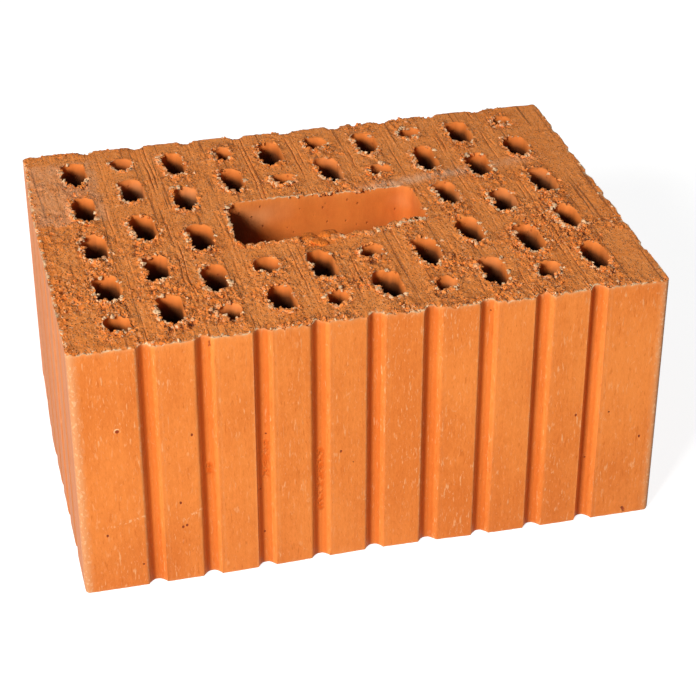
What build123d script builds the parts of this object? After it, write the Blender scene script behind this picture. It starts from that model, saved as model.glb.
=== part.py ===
from build123d import *
import os

# Overall size of the fired block in mm, with the bed face down.
LENGTH = 240.0
WIDTH = 170.0
HEIGHT = 114.0
CORNER_RADIUS = 2.0

# Keying grooves that run the full height of all four sides.
GROOVE_PITCH = 22.6
GROOVE_MOUTH = 6.8
GROOVE_FLOOR = 1.4
GROOVE_DEPTH = 2.7
GROOVE_FLOOR_RADIUS = 1.2
GROOVE_LIP_RADIUS = 0.8
GROOVE_CORNER_MARGIN = 22.0

# Perforations: each column holds one short hole and a row of long ones.
HOLE_WIDTH = 10.5
LONG_HOLE = 22.5
SHORT_HOLE = 12.0
HOLE_RADIUS = 4.5
FACE_SHELL = 12.0
END_SHELL = 16.6
COLUMN_WEB = 11.3
SHORT_WEB = 9.0
THINNEST_WEB = 8.0

# Hand hole in the middle of the block.
GRIP_LENGTH = 82.0
GRIP_WIDTH = 38.0
GRIP_RADIUS = 6.0

# How far a cutting profile stands out past the face that it cuts.
CUT_OVERRUN = 3.0
# The largest share of a hole's side that a corner radius may take.
RADIUS_SHARE = 0.45


def groove_offsets(side):
    """Centred positions of the grooves that fit along a side of this length."""
    count = int((side - 2 * GROOVE_CORNER_MARGIN) // GROOVE_PITCH) + 1
    first = -(count - 1) * GROOVE_PITCH / 2
    return [first + index * GROOVE_PITCH for index in range(count)]


def column_offsets():
    """Centred positions of the hole columns between the two end shells."""
    span = LENGTH - 2 * END_SHELL - HOLE_WIDTH
    gaps = max(round(span / (HOLE_WIDTH + COLUMN_WEB)), 1)
    return [-span / 2 + index * span / gaps for index in range(gaps + 1)]


def column_spans():
    """The (start, end) spans of one full column, with its short hole at the front."""
    front = -WIDTH / 2 + FACE_SHELL
    short = (front, front + SHORT_HOLE)
    first = short[1] + SHORT_WEB
    room = WIDTH / 2 - FACE_SHELL - first
    rows = max(int((room + THINNEST_WEB) // (LONG_HOLE + THINNEST_WEB)), 1)
    step = (room - LONG_HOLE) / max(rows - 1, 1)
    starts = [first + row * step for row in range(rows)]
    return [short] + [(start, start + LONG_HOLE) for start in starts]


def clear_of_grip(spans):
    """Drop the spans that meet the hand hole, and set a short hole where one still fits."""
    edge = GRIP_WIDTH / 2
    front = [span for span in spans if span[1] <= -edge - THINNEST_WEB]
    back = [span for span in spans if span[0] >= edge + THINNEST_WEB]
    kept = front + back
    needed = SHORT_WEB + SHORT_HOLE + THINNEST_WEB
    if front and -edge - front[-1][1] >= needed:
        start = front[-1][1] + SHORT_WEB
        kept.append((start, start + SHORT_HOLE))
    if back and back[0][0] - edge >= needed:
        end = back[0][0] - SHORT_WEB
        kept.append((end - SHORT_HOLE, end))
    return sorted(kept)


def fitted_radius(radius, width, depth):
    """A corner radius kept within the sides that it joins."""
    return min(radius, RADIUS_SHARE * min(width, depth))


# Section of one groove, mouth on the X axis and floor towards +Y.
# The cutter runs out along the face past each lip, so the lip can be rounded into it.
lip_end = GROOVE_MOUTH / 2 + GROOVE_LIP_RADIUS
with BuildSketch() as groove:
    with BuildLine():
        Polyline(
            (-lip_end, 0),
            (-GROOVE_MOUTH / 2, 0),
            (-GROOVE_FLOOR / 2, GROOVE_DEPTH),
            (GROOVE_FLOOR / 2, GROOVE_DEPTH),
            (GROOVE_MOUTH / 2, 0),
            (lip_end, 0),
            (lip_end, -CUT_OVERRUN),
            (-lip_end, -CUT_OVERRUN),
            close=True,
        )
    make_face()
    floor_corners = groove.vertices().group_by(Axis.Y)[-1]
    fillet(floor_corners, GROOVE_FLOOR_RADIUS)
    lips = groove.vertices().group_by(Axis.Y)[1].sort_by(Axis.X)[1:3]
    fillet(lips, GROOVE_LIP_RADIUS)

# Where each groove is cut, turned so that its floor points into the block.
face_grooves = groove_offsets(LENGTH)
end_grooves = groove_offsets(WIDTH)
groove_places = (
    [Location((x, -WIDTH / 2, 0), (0, 0, 0)) for x in face_grooves]
    + [Location((x, WIDTH / 2, 0), (0, 0, 180)) for x in face_grooves]
    + [Location((LENGTH / 2, y, 0), (0, 0, 90)) for y in end_grooves]
    + [Location((-LENGTH / 2, y, 0), (0, 0, -90)) for y in end_grooves]
)

# Every hole as (centre x, centre y, depth); each second column is turned front to back.
holes = []
for column, x in enumerate(column_offsets()):
    spans = column_spans()
    if column % 2 == 1:
        spans = sorted((-end, -start) for start, end in spans)
    if abs(x) < GRIP_LENGTH / 2 + THINNEST_WEB + HOLE_WIDTH / 2:
        spans = clear_of_grip(spans)
    for start, end in spans:
        holes.append((x, (start + end) / 2, end - start))

# The block as it leaves the die: one extruded section, with every void running right through.
with BuildPart() as brick:
    with BuildSketch():
        RectangleRounded(LENGTH, WIDTH, CORNER_RADIUS)
        with Locations(*groove_places):
            add(groove.sketch, mode=Mode.SUBTRACT)
        for x, y, depth in holes:
            with Locations((x, y)):
                radius = fitted_radius(HOLE_RADIUS, HOLE_WIDTH, depth)
                RectangleRounded(HOLE_WIDTH, depth, radius, mode=Mode.SUBTRACT)
        radius = fitted_radius(GRIP_RADIUS, GRIP_LENGTH, GRIP_WIDTH)
        RectangleRounded(GRIP_LENGTH, GRIP_WIDTH, radius, mode=Mode.SUBTRACT)
    extrude(amount=HEIGHT)

brick.part.label = "brick"
os.makedirs("parts", exist_ok=True)
export_step(brick.part, "parts/brick.step")

print("holes", len(holes), "face grooves", len(face_grooves), "end grooves", len(end_grooves))
print("volume in litres", round(brick.part.volume / 1e6, 4))
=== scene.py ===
"""A perforated clay block as it left the kiln: wire-cut bed faces, die-skinned sides and holes, torn rims.

The functions work in millimetres, with the block's underside at zero height, and a mesh is
turned to metres when it is made. The plan of the block is what the die gives; the cut gives
the two bed faces their relief.
"""

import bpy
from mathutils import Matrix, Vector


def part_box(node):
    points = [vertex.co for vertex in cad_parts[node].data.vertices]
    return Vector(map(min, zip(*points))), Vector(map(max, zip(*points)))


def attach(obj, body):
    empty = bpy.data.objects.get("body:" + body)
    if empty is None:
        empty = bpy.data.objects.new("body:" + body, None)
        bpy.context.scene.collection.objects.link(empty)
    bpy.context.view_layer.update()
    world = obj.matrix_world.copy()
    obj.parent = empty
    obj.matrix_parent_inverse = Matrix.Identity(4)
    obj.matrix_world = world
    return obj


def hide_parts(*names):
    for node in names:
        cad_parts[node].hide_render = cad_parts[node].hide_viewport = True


bl_info = {
    "name": "Perforated clay block",
    "version": (1, 0, 0),
    "blender": (4, 5, 0),
    "location": "View3D > Sidebar > Clay Block",
    "description": "Builds the cut faces, die skin, torn rims and crumbs of a perforated clay block",
    "category": "Add Mesh",
}

import itertools
import math

import bpy
import numpy as np
from bpy.props import FloatProperty, FloatVectorProperty, IntProperty, PointerProperty
from mathutils import Matrix
from mathutils.geometry import delaunay_2d_cdt

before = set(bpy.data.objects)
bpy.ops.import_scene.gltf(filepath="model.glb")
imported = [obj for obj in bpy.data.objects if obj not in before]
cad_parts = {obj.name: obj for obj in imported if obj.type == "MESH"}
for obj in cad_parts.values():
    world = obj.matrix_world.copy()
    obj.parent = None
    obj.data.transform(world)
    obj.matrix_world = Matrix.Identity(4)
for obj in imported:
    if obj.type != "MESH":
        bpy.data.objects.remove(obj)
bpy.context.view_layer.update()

MM = 0.001
WHITE = (1, 1, 1, 1)
# Share of a stroke's radius that is covered in full, and the reflection of dry clay at a right angle.
STROKE_CORE = 0.3
CLAY_SHEEN = 0.25
BLOCK_LOW, BLOCK_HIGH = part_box("brick")
LENGTH, WIDTH, HEIGHT = [(high - low) / MM for low, high in zip(BLOCK_LOW, BLOCK_HIGH)]

CUT_CLAY, DIE_SKIN, HOLE_SKIN = 0, 1, 2
# Of these marks, cavity and deep carry painted shade, fresh carries fresh clay on the cut and painted shade
# in the side grooves, and torn carries pale torn clay with painted highlights.
MARKS = ("torn", "cavity", "dust", "fresh", "crumbly", "arris", "deep")


def linear(red, green, blue):
    """Scene-linear colour of a screen colour given as three numbers up to 255."""
    screen = np.array([red, green, blue]) / 255
    low = screen / 12.92
    high = ((screen + 0.055) / 1.055) ** 2.4
    return tuple(float(value) for value in np.where(screen <= 0.04045, low, high))


def length_of(name, text, default):
    """A length property in metres, from a default in millimetres."""
    return FloatProperty(name=name, description=text, default=default * MM, unit="LENGTH", precision=5)


def number_of(name, text, default, **limits):
    """A plain number property."""
    return FloatProperty(name=name, description=text, default=default, **limits)


def count_of(name, text, default):
    """A whole number property, two at least."""
    return IntProperty(name=name, description=text, default=default, min=2)


def colour_of(name, text, red, green, blue):
    """A colour property from a screen colour."""
    return FloatVectorProperty(
        name=name,
        description=text,
        default=linear(red, green, blue),
        subtype="COLOR",
        min=0,
        max=1,
    )


class BlockPlan(bpy.types.PropertyGroup):
    """Sizes of the die that the block is pressed through."""

    corner_radius: length_of("Corner radius", "Radius of the block's upright corners", 2.0)
    groove_pitch: length_of("Groove pitch", "From one keying groove to the next", 22.6)
    groove_mouth: length_of("Groove mouth", "Width of a groove at the face", 6.8)
    groove_floor: length_of("Groove floor", "Width of a groove's flat floor", 1.4)
    groove_depth: length_of("Groove depth", "Depth of a keying groove", 2.7)
    hole_width: length_of("Hole width", "Width of every small hole", 10.5)
    long_hole: length_of("Long hole", "Length of a long hole, front to back", 22.5)
    short_hole: length_of("Short hole", "Length of a short hole, front to back", 12.0)
    hole_radius: length_of("Hole radius", "Corner radius of the small holes", 4.5)
    face_shell: length_of("Face shell", "Clay between the long faces and the holes", 12.0)
    end_shell: length_of("End shell", "Clay between the ends and the first holes", 16.6)
    short_web: length_of("Short web", "Clay between a short hole and the next one", 9.0)
    grip_length: length_of("Hand hole length", "Length of the hand hole", 82.0)
    grip_width: length_of("Hand hole width", "Width of the hand hole", 38.0)
    grip_radius: length_of("Hand hole radius", "Corner radius of the hand hole", 6.0)
    columns: count_of("Columns", "Columns of small holes", 10)
    bow: length_of("Bow", "How far the long faces dried inwards at the middle", 1.3)
    drift: length_of("Drift", "How far the holes wandered towards the back at the right end", 2.4)


class CutFinish(bpy.types.PropertyGroup):
    """Sizes of what the cutting wire left on the bed faces and rims."""

    column_step: length_of("Column step", "Mesh step along the block's length", 0.8)
    line_step: length_of("Line step", "Mesh step across the drag lines and grooves", 0.37)
    row_step: length_of("Row step", "Mesh step from front to back", 1.05)
    relief: length_of("Relief", "From the highest burr down to the cut plane", 1.0)
    pit_depth: length_of("Pit depth", "Depth of the torn pits", 1.2)
    line_depth: length_of("Line depth", "Depth of the strong drag lines", 0.65)
    tear: length_of("Tear", "How far a torn rim stands out over its hole", 0.9)
    wall_wave: length_of("Wall wave", "Waviness of the hole walls", 0.14)
    corner_fill: length_of("Corner fill", "How far crumbs fill a hole's front corners at most", 4.6)
    crumbs_at_rims: count_of("Crumbs at rims", "Crumbs fired onto the torn rims", 5300)
    crumbs_on_cut: count_of("Crumbs on cut", "Crumbs fired onto the cut face", 3600)
    seed: count_of("Seed", "Start of every random draw", 11)


class ClayColours(bpy.types.PropertyGroup):
    """Colours of the fired clay."""

    cut_tan: colour_of("Cut tan", "Dry plateau of the cut face", 252, 153, 75)
    cut_orange: colour_of("Cut orange", "Warmer clay in the cut face", 248, 138, 54)
    # Painted shade: darkens the pits, drag lines and specks of the cut face.
    pit_brown: colour_of("Pit brown", "Clay deep in the pits and lines", 112, 45, 14)
    # Pale torn clay, partly painted highlights on the rims and crumbs.
    crumb_cream: colour_of("Crumb cream", "Torn edges that fired pale", 252, 208, 160)
    fresh_orange: colour_of("Fresh orange", "Lumps of brighter clay", 246, 128, 38)
    dust_grey: colour_of("Dust grey", "Pale dust on the cut face", 246, 190, 148)
    skin_orange: colour_of("Skin orange", "Smooth die skin of the sides", 242, 140, 62)
    # Real darker tone and specks of the skin, and also painted shade inside the grooves.
    skin_deep: colour_of("Skin deep", "Darker clay in the grooves and pinholes", 200, 90, 12)
    stain_orange: colour_of("Stain orange", "Rough orange stains in the grooves", 212, 96, 18)
    skin_cream: colour_of("Skin cream", "Pale specks and scratches of the die skin", 250, 190, 134)
    # A pinkish bloom on the ends, partly painted sheen: the washed-out look of a lit end.
    end_grey: colour_of("End grey", "Pinkish bloom on the two ends", 190, 120, 76)
    chip_red: colour_of("Chip red", "Dark fresh clay in the chips", 150, 56, 20)
    hole_orange: colour_of("Hole orange", "Skin of the hole walls", 226, 122, 48)
    hole_red: colour_of("Hole red", "Redder clay of the hole walls", 196, 92, 32)
    # Painted shade: darkens the hole walls with depth, and paints a shadow into the hand hole's left
    # corner.
    hole_dark: colour_of("Hole dark", "Clay deep in the holes, smoked by the kiln", 24, 6, 2)


class StageLook(bpy.types.PropertyGroup):
    """Camera, lamps and floor of the studio."""

    lens: number_of("Lens", "Focal length on a 36 mm sensor", 104.22)
    azimuth: number_of("Azimuth", "Turn to the right of straight ahead", 0.243327, subtype="ANGLE")
    elevation: number_of("Elevation", "How far the camera looks down", 0.556152, subtype="ANGLE")
    roll: number_of("Roll", "Roll of the camera", 0.00156, subtype="ANGLE")
    key_power: number_of("Key power", "Power of the key lamp in watts", 61.0)
    key_size: number_of("Key size", "Side of the square key lamp in metres", 0.58)
    fill_power: number_of("Fill power", "Power of the fill lamp in watts", 5.0)
    sky: number_of("Sky", "Strength of the even light all round", 0.07)
    floor_white: number_of("Floor white", "Brightness that the camera sees in the floor", 0.86)


def sizes_of(group):
    """Every setting of a property group by name, with its lengths as plain numbers in millimetres."""
    settings = {name: getattr(group, name) for name in group.__annotations__}
    kinds = group.bl_rna.properties
    lengths = {name: value / MM for name, value in settings.items() if kinds[name].unit == "LENGTH"}
    return {**settings, **lengths}


def fade(low, high, value):
    """A smooth rise from 0 at low to 1 at high: three squares less two cubes of the share between them."""
    share = np.clip((value - low) / (high - low), 0, 1)
    return share * share * (3 - 2 * share)


def bell(distance, width):
    """1 at no distance, falling off on both sides as e to the minus square of distance over width."""
    return np.exp(-((distance / width) ** 2))


def dying(depth, reach):
    """1 at no depth, dying away as e to the minus depth over reach."""
    return np.exp(-depth / reach)


def scrambled(column, row, layer, seed):
    """A repeatable number from 0 to 1 for each whole-number place, from its mixed bits."""
    mixed = (column * 374761393 + row * 668265263 + layer * 2147483647 + seed * 144665) & 0xFFFFFFFF
    mixed = ((mixed ^ (mixed >> 13)) * 1274126177) & 0xFFFFFFFF
    return (mixed ^ (mixed >> 16)) / 4294967295.0


def grain(x, y, z, size, seed):
    """Smooth noise from -1 to 1: the eight nearest lattice places' numbers, blended by a quintic fade."""
    axes = [np.asarray(value, float) / step for value, step in zip((x, y, z), size)]
    cells = [np.floor(axis).astype(np.int64) for axis in axes]
    shares = [axis - cell for axis, cell in zip(axes, cells)]
    weights = [share**3 * (share * (6 * share - 15) + 10) for share in shares]
    total = 0.0
    for corner in itertools.product((0, 1), repeat=3):
        places = [cell + step for cell, step in zip(cells, corner)]
        share = 1.0
        for weight, step in zip(weights, corner):
            share = share * (weight if step else 1 - weight)
        total = total + share * scrambled(*places, seed)
    return 2 * total - 1


# Smooth noises of the block: strength, grain along each axis in mm, and the step of the seed that keeps
# each apart from the others.
NOISES = {
    "wander_y": (1.1, (21.0, 26.0, 1), 1),
    "wander_x": (0.6, (24.0, 19.0, 1), 2),
    "ragged_coarse": (0.55, (3.1, 3.4, 1), 11),
    "ragged_fine": (0.7, (1.5, 1.6, 1), 12),
    "notch_side": (1.0, (1.9, 1.9, 1), 13),
    "notch": (0.35, (1.1, 1.1, 1), 14),
    "sway_y": (1.1, (2.9, 3.6, 1), 30),
    "crumbly": (0.55, (14.0, 12.0, 1), 31),
    "sway_x": (0.8, (2.6, 4.0, 1), 32),
    "swell": (0.16, (17.0, 23.0, 1), 36),
    "ribs": (0.03, (1.6, 22.0, 1), 37),
    "dust_edge": (1.6, (3.0, 4.5, 1), 41),
    "dust_worn": (0.5, (1.1, 2.6, 1), 42),
    "lip": (1.0, (1.7, 1.7, 1), 51),
    "pale": (1.0, (1.3, 1.3, 1), 52),
    "low_rim": (0.35, (2.4, 2.4, 1), 61),
    "wall_wave": (1.0, (7.0, 7.0, 26.0), 62),
    "clumps": (1.2, (6.0, 6.0, 1), 82),
}


def noise_of(name, x, y, seed, z=0):
    """One of the block's smooth noises at these places, from minus its strength to its strength."""
    strength, size, step = NOISES[name]
    return strength * grain(x, y, z, size, seed + step)


def bowls(x, y, size, share, seed):
    """Scattered bowls, 0 to 1: each lattice cell holds one with the chance `share`, deep at its own random
    centre and falling off with the square of the distance over its random radius."""
    across = x / size[0]
    along = y / size[1]
    column = np.floor(across).astype(np.int64)
    row = np.floor(along).astype(np.int64)
    deepest = np.zeros(np.shape(x))
    for step_x, step_y in itertools.product((-1, 0, 1), repeat=2):
        cell = (column + step_x, row + step_y)
        centre_x = cell[0] + scrambled(*cell, 0, seed)
        centre_y = cell[1] + scrambled(*cell, 1, seed)
        radius = 0.3 + 0.45 * scrambled(*cell, 2, seed)
        depth = 1 - ((across - centre_x) ** 2 + (along - centre_y) ** 2) / radius**2
        depth = depth * (0.45 + 0.55 * scrambled(*cell, 3, seed))
        depth = np.where(scrambled(*cell, 4, seed) < share, depth, 0)
        deepest = np.maximum(deepest, depth)
    return deepest


# Steepest tilt of a broken plate, as height over the lattice step.
PLATE_TILT = 1.6


def plates(x, y, size, seed):
    """A broken surface of small tilted plates, about -1 to 1.

    Each place takes the height and tilt of the nearest random centre, one to a lattice cell."""
    across = x / size[0]
    along = y / size[1]
    column = np.floor(across).astype(np.int64)
    row = np.floor(along).astype(np.int64)
    nearest = np.full(np.shape(x), np.inf)
    height = np.zeros(np.shape(x))
    for step_x, step_y in itertools.product((-1, 0, 1), repeat=2):
        cell = (column + step_x, row + step_y)
        from_x = across - cell[0] - scrambled(*cell, 0, seed)
        from_y = along - cell[1] - scrambled(*cell, 1, seed)
        distance = from_x**2 + from_y**2
        tilt_x = PLATE_TILT * (scrambled(*cell, 3, seed) - 0.5)
        tilt_y = PLATE_TILT * (scrambled(*cell, 4, seed) - 0.5)
        tilted = 1.5 * scrambled(*cell, 2, seed) - 0.75 + (tilt_x * from_x + tilt_y * from_y)
        height = np.where(distance < nearest, tilted, height)
        nearest = np.minimum(nearest, distance)
    return height


def finish_marks(shape, **given):
    """Every finish mark at each place, zero where it isn't given."""
    return {name: np.broadcast_to(given.get(name, 0.0), shape) for name in MARKS}


# Grooves, in mm: least distance of a groove from a corner, how far its lips are rounded past the
# mouth, and the power that makes its flanks steepest at the lip.
CORNER_MARGIN = 22.0
LIP_ROUND = 0.3
FLANK_POWER = 1.5


def groove_places(side, plan):
    """Centred positions of the keying grooves along a side of this length."""
    count = int((side - 2 * CORNER_MARGIN) // plan["groove_pitch"]) + 1
    return (np.arange(count) - (count - 1) / 2) * plan["groove_pitch"]


def column_places(plan):
    """Centred positions of the hole columns between the two end shells."""
    half = LENGTH / 2 - plan["end_shell"] - plan["hole_width"] / 2
    return np.linspace(-half, half, plan["columns"])


def web_places(plan):
    """Middles of the webs between neighbouring hole columns."""
    columns = column_places(plan)
    return (columns[1:] + columns[:-1]) / 2


# Long holes of a full column, the first and last column beside the hand hole, and the largest share of a
# hole's side that a corner radius may take.
LONG_HOLES = 4
BESIDE_GRIP = (3, 6)
RADIUS_SHARE = 0.45


def hole_table(plan):
    """One row for each hole: centre x and y, half width, half length and corner radius.

    The hand hole is last. The columns beside it keep the holes that clear it, and gain a short one."""
    front = -WIDTH / 2 + plan["face_shell"]
    short = (front, front + plan["short_hole"])
    first = short[1] + plan["short_web"]
    starts = np.linspace(first, WIDTH / 2 - plan["face_shell"] - plan["long_hole"], LONG_HOLES)
    full = [short] + [(start, start + plan["long_hole"]) for start in starts]
    web_edge = -full[1][1]
    beside = [full[0], full[1], (web_edge, web_edge + plan["short_hole"]), full[4]]
    rows = []
    for column, x in enumerate(column_places(plan)):
        spans = beside if BESIDE_GRIP[0] <= column <= BESIDE_GRIP[1] else full
        turn = -1 if column % 2 else 1
        for start, end in spans:
            half = (end - start) / 2
            radius = min(plan["hole_radius"], RADIUS_SHARE * min(plan["hole_width"], end - start))
            rows.append((x, turn * (start + end) / 2, plan["hole_width"] / 2, half, radius))
    rows.append((0, 0, plan["grip_length"] / 2, plan["grip_width"] / 2, plan["grip_radius"]))
    return np.array(rows)


def groove_offset(along, side, plan):
    """Distance along a face from the middle of its nearest groove, below zero to the left of it."""
    apart = np.asarray(along)[..., None] - groove_places(side, plan)
    nearest = np.abs(apart).argmin(axis=-1)
    return np.take_along_axis(apart, nearest[..., None], axis=-1)[..., 0]


def groove_gap(along, side, plan):
    """Distance along a face to the middle of its nearest groove."""
    return np.abs(groove_offset(along, side, plan))


def groove_recess(along, side, plan):
    """How far the grooves set a face back at each place along it.

    A flank falls from the mouth to the floor, steepest at the lip: one less a power of what is left."""
    mouth = plan["groove_mouth"] / 2 + LIP_ROUND
    floor = plan["groove_floor"] / 2
    share = np.clip((mouth - groove_gap(along, side, plan)) / (mouth - floor), 0, 1)
    return plan["groove_depth"] * (1 - (1 - share) ** FLANK_POWER)


# Outline, in mm: where the bow of the long faces ends, and the wear of the left end towards its back.
BOW_END = 66.0
WORN_DEPTH = 2.0
WORN_SPAN = (20.0, 84.0)


def inside_by(x, y, half_x, half_y, radius):
    """How far a place lies inside a rounded rectangle round the origin, below zero outside it."""
    past_x = np.abs(x) - half_x + radius
    past_y = np.abs(y) - half_y + radius
    corner = np.hypot(np.maximum(past_x, 0), np.maximum(past_y, 0))
    return radius - corner - np.minimum(np.maximum(past_x, past_y), 0)


def clearance(x, y, plan, holes):
    """Clay between a place in the plan and the nearest edge, below zero outside the clay.

    The outline is a rounded rectangle whose half sides are lessened by the grooves, by the bow of
    the long faces and by the worn back left corner; each hole is a rounded rectangle."""
    bow = plan["bow"] * (1 - fade(0, BOW_END, np.abs(x)))
    worn = np.where(x > 0, 0, WORN_DEPTH * fade(*WORN_SPAN, y))
    half_width = WIDTH / 2 - groove_recess(x, LENGTH, plan) - bow
    half_length = LENGTH / 2 - groove_recess(y, WIDTH, plan) - worn
    clay = inside_by(x, y, half_length, half_width, plan["corner_radius"])
    for centre_x, centre_y, half_x, half_y, radius in holes:
        clay = np.minimum(clay, -inside_by(x - centre_x, y - centre_y, half_x, half_y, radius))
    return clay


# A rim place this near the outline is on it. Half of the step that slopes are measured over, in mm, and
# the least slope that counts.
OUTLINE_BAND = 0.3
PROBE = 0.02
LEAST_SLOPE = 0.2


def on_outline(x, y, plan, holes):
    """Whether a place on a rim is on the block's outline, and not on a hole."""
    return clearance(x, y, plan, holes[:0]) < OUTLINE_BAND


def towards_void(x, y, plan, holes):
    """The clearance, turned into a distance, and the direction to the nearest edge, from its slope."""
    slope_x = clearance(x + PROBE, y, plan, holes) - clearance(x - PROBE, y, plan, holes)
    slope_y = clearance(x, y + PROBE, plan, holes) - clearance(x, y - PROBE, plan, holes)
    steep = np.maximum(np.hypot(slope_x, slope_y) / (2 * PROBE), LEAST_SLOPE)
    clay = clearance(x, y, plan, holes) / steep
    return clay, -slope_x / (2 * PROBE * steep), -slope_y / (2 * PROBE * steep)


# Grid, in mm: stops closer than this merge, the fine bands reach this far past a web or groove, nodes
# this far outside the clay are still taken onto its edge, and nodes this near an edge are eased.
MERGED_STOPS = 0.2
FINE_MARGIN = 3.0
KEPT_OUTSIDE = 0.34
EASED_WITHIN = 2.6
# Share of a step that may be left over, and how often the plan is cleaned, snapped and eased.
STEP_SLACK = 0.2
CLEANING_ROUNDS = 4
SNAPPING_ROUNDS = 5


def graded(stops, step, fine_step, fine_bands):
    """Grid lines through every stop, evenly spaced between two stops, and closer inside the fine bands."""
    stops = np.unique(np.round(np.concatenate([stops, fine_bands.ravel()]), 4))
    stops = stops[np.concatenate([[True], np.diff(stops) > MERGED_STOPS])]
    lines = [stops[:1]]
    for start, end in zip(stops[:-1], stops[1:]):
        middle = (start + end) / 2
        fine = np.any((fine_bands[:, 0] < middle) & (middle < fine_bands[:, 1]))
        count = max(int(math.ceil((end - start) / (fine_step if fine else step) - STEP_SLACK)), 1)
        lines.append(np.linspace(start, end, count + 1)[1:])
    return np.concatenate(lines)


def grid_lines(centres, halves, edge, step, fine_step, fine_bands):
    """Grid lines along one axis: through the straight edges of the holes and of the block, and one
    more past each edge."""
    stops = np.concatenate([centres - halves, centres + halves, [-edge, edge]])
    return np.concatenate([[-edge - 1], graded(stops, step, fine_step, fine_bands), [edge + 1]])


def plan_grid(plan, finish, holes):
    """Grid lines of the plan, along X and along Y, finer along X where drag lines and grooves are."""
    webs = web_places(plan)
    grooves = groove_places(LENGTH, plan)
    starts = np.minimum(webs, grooves) - FINE_MARGIN
    bands = np.stack([starts, np.maximum(webs, grooves) + FINE_MARGIN], axis=1)
    step, fine_step, row_step = finish["column_step"], finish["line_step"], finish["row_step"]
    along_x = grid_lines(holes[:, 0], holes[:, 2], LENGTH / 2, step, fine_step, bands)
    along_y = grid_lines(holes[:, 1], holes[:, 3], WIDTH / 2, row_step, row_step, bands[:0])
    return along_x, along_y


def shifted(table, step_x, step_y):
    """The table moved by whole steps, with the neighbour that lies that way in each place."""
    return np.roll(table, (-step_x, -step_y), axis=(0, 1))


def kept_cells(inside):
    """Cells with four nodes in the clay, and triangles for cells with three, as node numbers in the
    turn of a face that looks up."""
    rows, columns = inside.shape
    number = np.arange(rows * columns).reshape(rows, columns)
    ring = [(0, 0), (1, 0), (1, 1), (0, 1)]
    corners = [number[dx : rows - 1 + dx, dy : columns - 1 + dy].ravel() for dx, dy in ring]
    corners = np.stack(corners, axis=1)
    clay = inside.ravel()[corners]
    count = clay.sum(axis=1)
    quads = corners[count == 4]
    partial = corners[count == 3]
    missing = np.argmin(clay[count == 3], axis=1)
    turn = (missing[:, None] + np.arange(1, 4)) % 4
    return quads, np.take_along_axis(partial, turn, axis=1)


def face_edges(quads, triangles):
    """Directed edges of the faces, tail and head."""
    pairs = [np.stack([faces, np.roll(faces, -1, axis=1)], axis=2) for faces in (quads, triangles)]
    return np.concatenate([part.reshape(-1, 2) for part in pairs])


def open_edges(edges, count):
    """The directed edges that no other face runs the other way along."""
    forward = edges[:, 0] * count + edges[:, 1]
    backward = edges[:, 1] * count + edges[:, 0]
    return edges[~np.isin(forward, backward)]


def snapped_plan(plan, finish, holes):
    """The clay's plan on a grid: nodes next to an edge are taken onto it, and the rest eased after them.

    Returns the node places, the quads and triangles over the clay, and the open edges round it."""
    along_x, along_y = plan_grid(plan, finish, holes)
    x, y = np.meshgrid(along_x, along_y, indexing="ij")
    clay, _, _ = towards_void(x, y, plan, holes)
    inside = clay > -KEPT_OUTSIDE
    inside[[0, -1], :] = False
    inside[:, [0, -1]] = False
    for _ in range(CLEANING_ROUNDS):
        quads, triangles = kept_cells(inside)
        used = np.zeros(inside.size, bool)
        used[quads.ravel()] = True
        used[triangles.ravel()] = True
        edges = open_edges(face_edges(quads, triangles), inside.size)
        leaving = np.bincount(edges[:, 0], minlength=inside.size)
        kept = used & (leaving < 2)
        if np.array_equal(kept.reshape(inside.shape), inside):
            break
        inside = kept.reshape(inside.shape)
    rim = np.zeros(inside.size, bool)
    rim[edges.ravel()] = True
    rim = rim.reshape(inside.shape)
    for _ in range(SNAPPING_ROUNDS):
        gap, void_x, void_y = towards_void(x[rim], y[rim], plan, holes)
        x[rim] += gap * void_x
        y[rim] += gap * void_y
    ease = inside & ~rim & (clay < EASED_WITHIN)
    for _ in range(SNAPPING_ROUNDS):
        for table in (x, y):
            around = [shifted(table, *step) for step in ((1, 0), (-1, 0), (0, 1), (0, -1))]
            table[ease] = 0.5 * table[ease] + 0.5 * np.mean([near[ease] for near in around], axis=0)
    return x.ravel(), y.ravel(), quads, triangles, edges


# Wander of the holes, in mm: their shift to the back, its rise from end to end, and where along X the
# drift of the right end sets in. The powers hold the outline and the ends in place.
BACK_SHIFT = 0.8
BACK_RISE = 0.5
DRIFT_SPAN = (45.0, 100.0)
END_HOLD = 10
FACE_HOLD = 6


def drifted(x, y, plan, seed):
    """The plan as it really came out: holes wander a little, and towards the back at the right end.

    The shift is a smooth noise and a rise along the length, and fades to nothing at the outline."""
    loose_x = 1 - np.clip(np.abs(x) / (LENGTH / 2), 0, 1) ** END_HOLD
    loose_y = 1 - np.clip(np.abs(y) / (WIDTH / 2), 0, 1) ** FACE_HOLD
    loose = loose_x * loose_y
    back = BACK_SHIFT + BACK_RISE * x / LENGTH + plan["drift"] * fade(*DRIFT_SPAN, x)
    shift_y = back + noise_of("wander_y", x, y, seed)
    return x + loose * noise_of("wander_x", x, y, seed), y + loose * shift_y


# Tear of the rims: at its least and how much more there is of it at a front rim, the share of that at
# a left rim, and how much calmer the front of the outline is. A tooth's length is in mm.
LEAST_TEAR = 0.3
MORE_TEAR = 0.7
LEFT_TEAR = 0.8
CALM_FRONT = 0.18
TOOTH_LENGTH = 0.55
TEETH_PER_MM = 20


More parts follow.
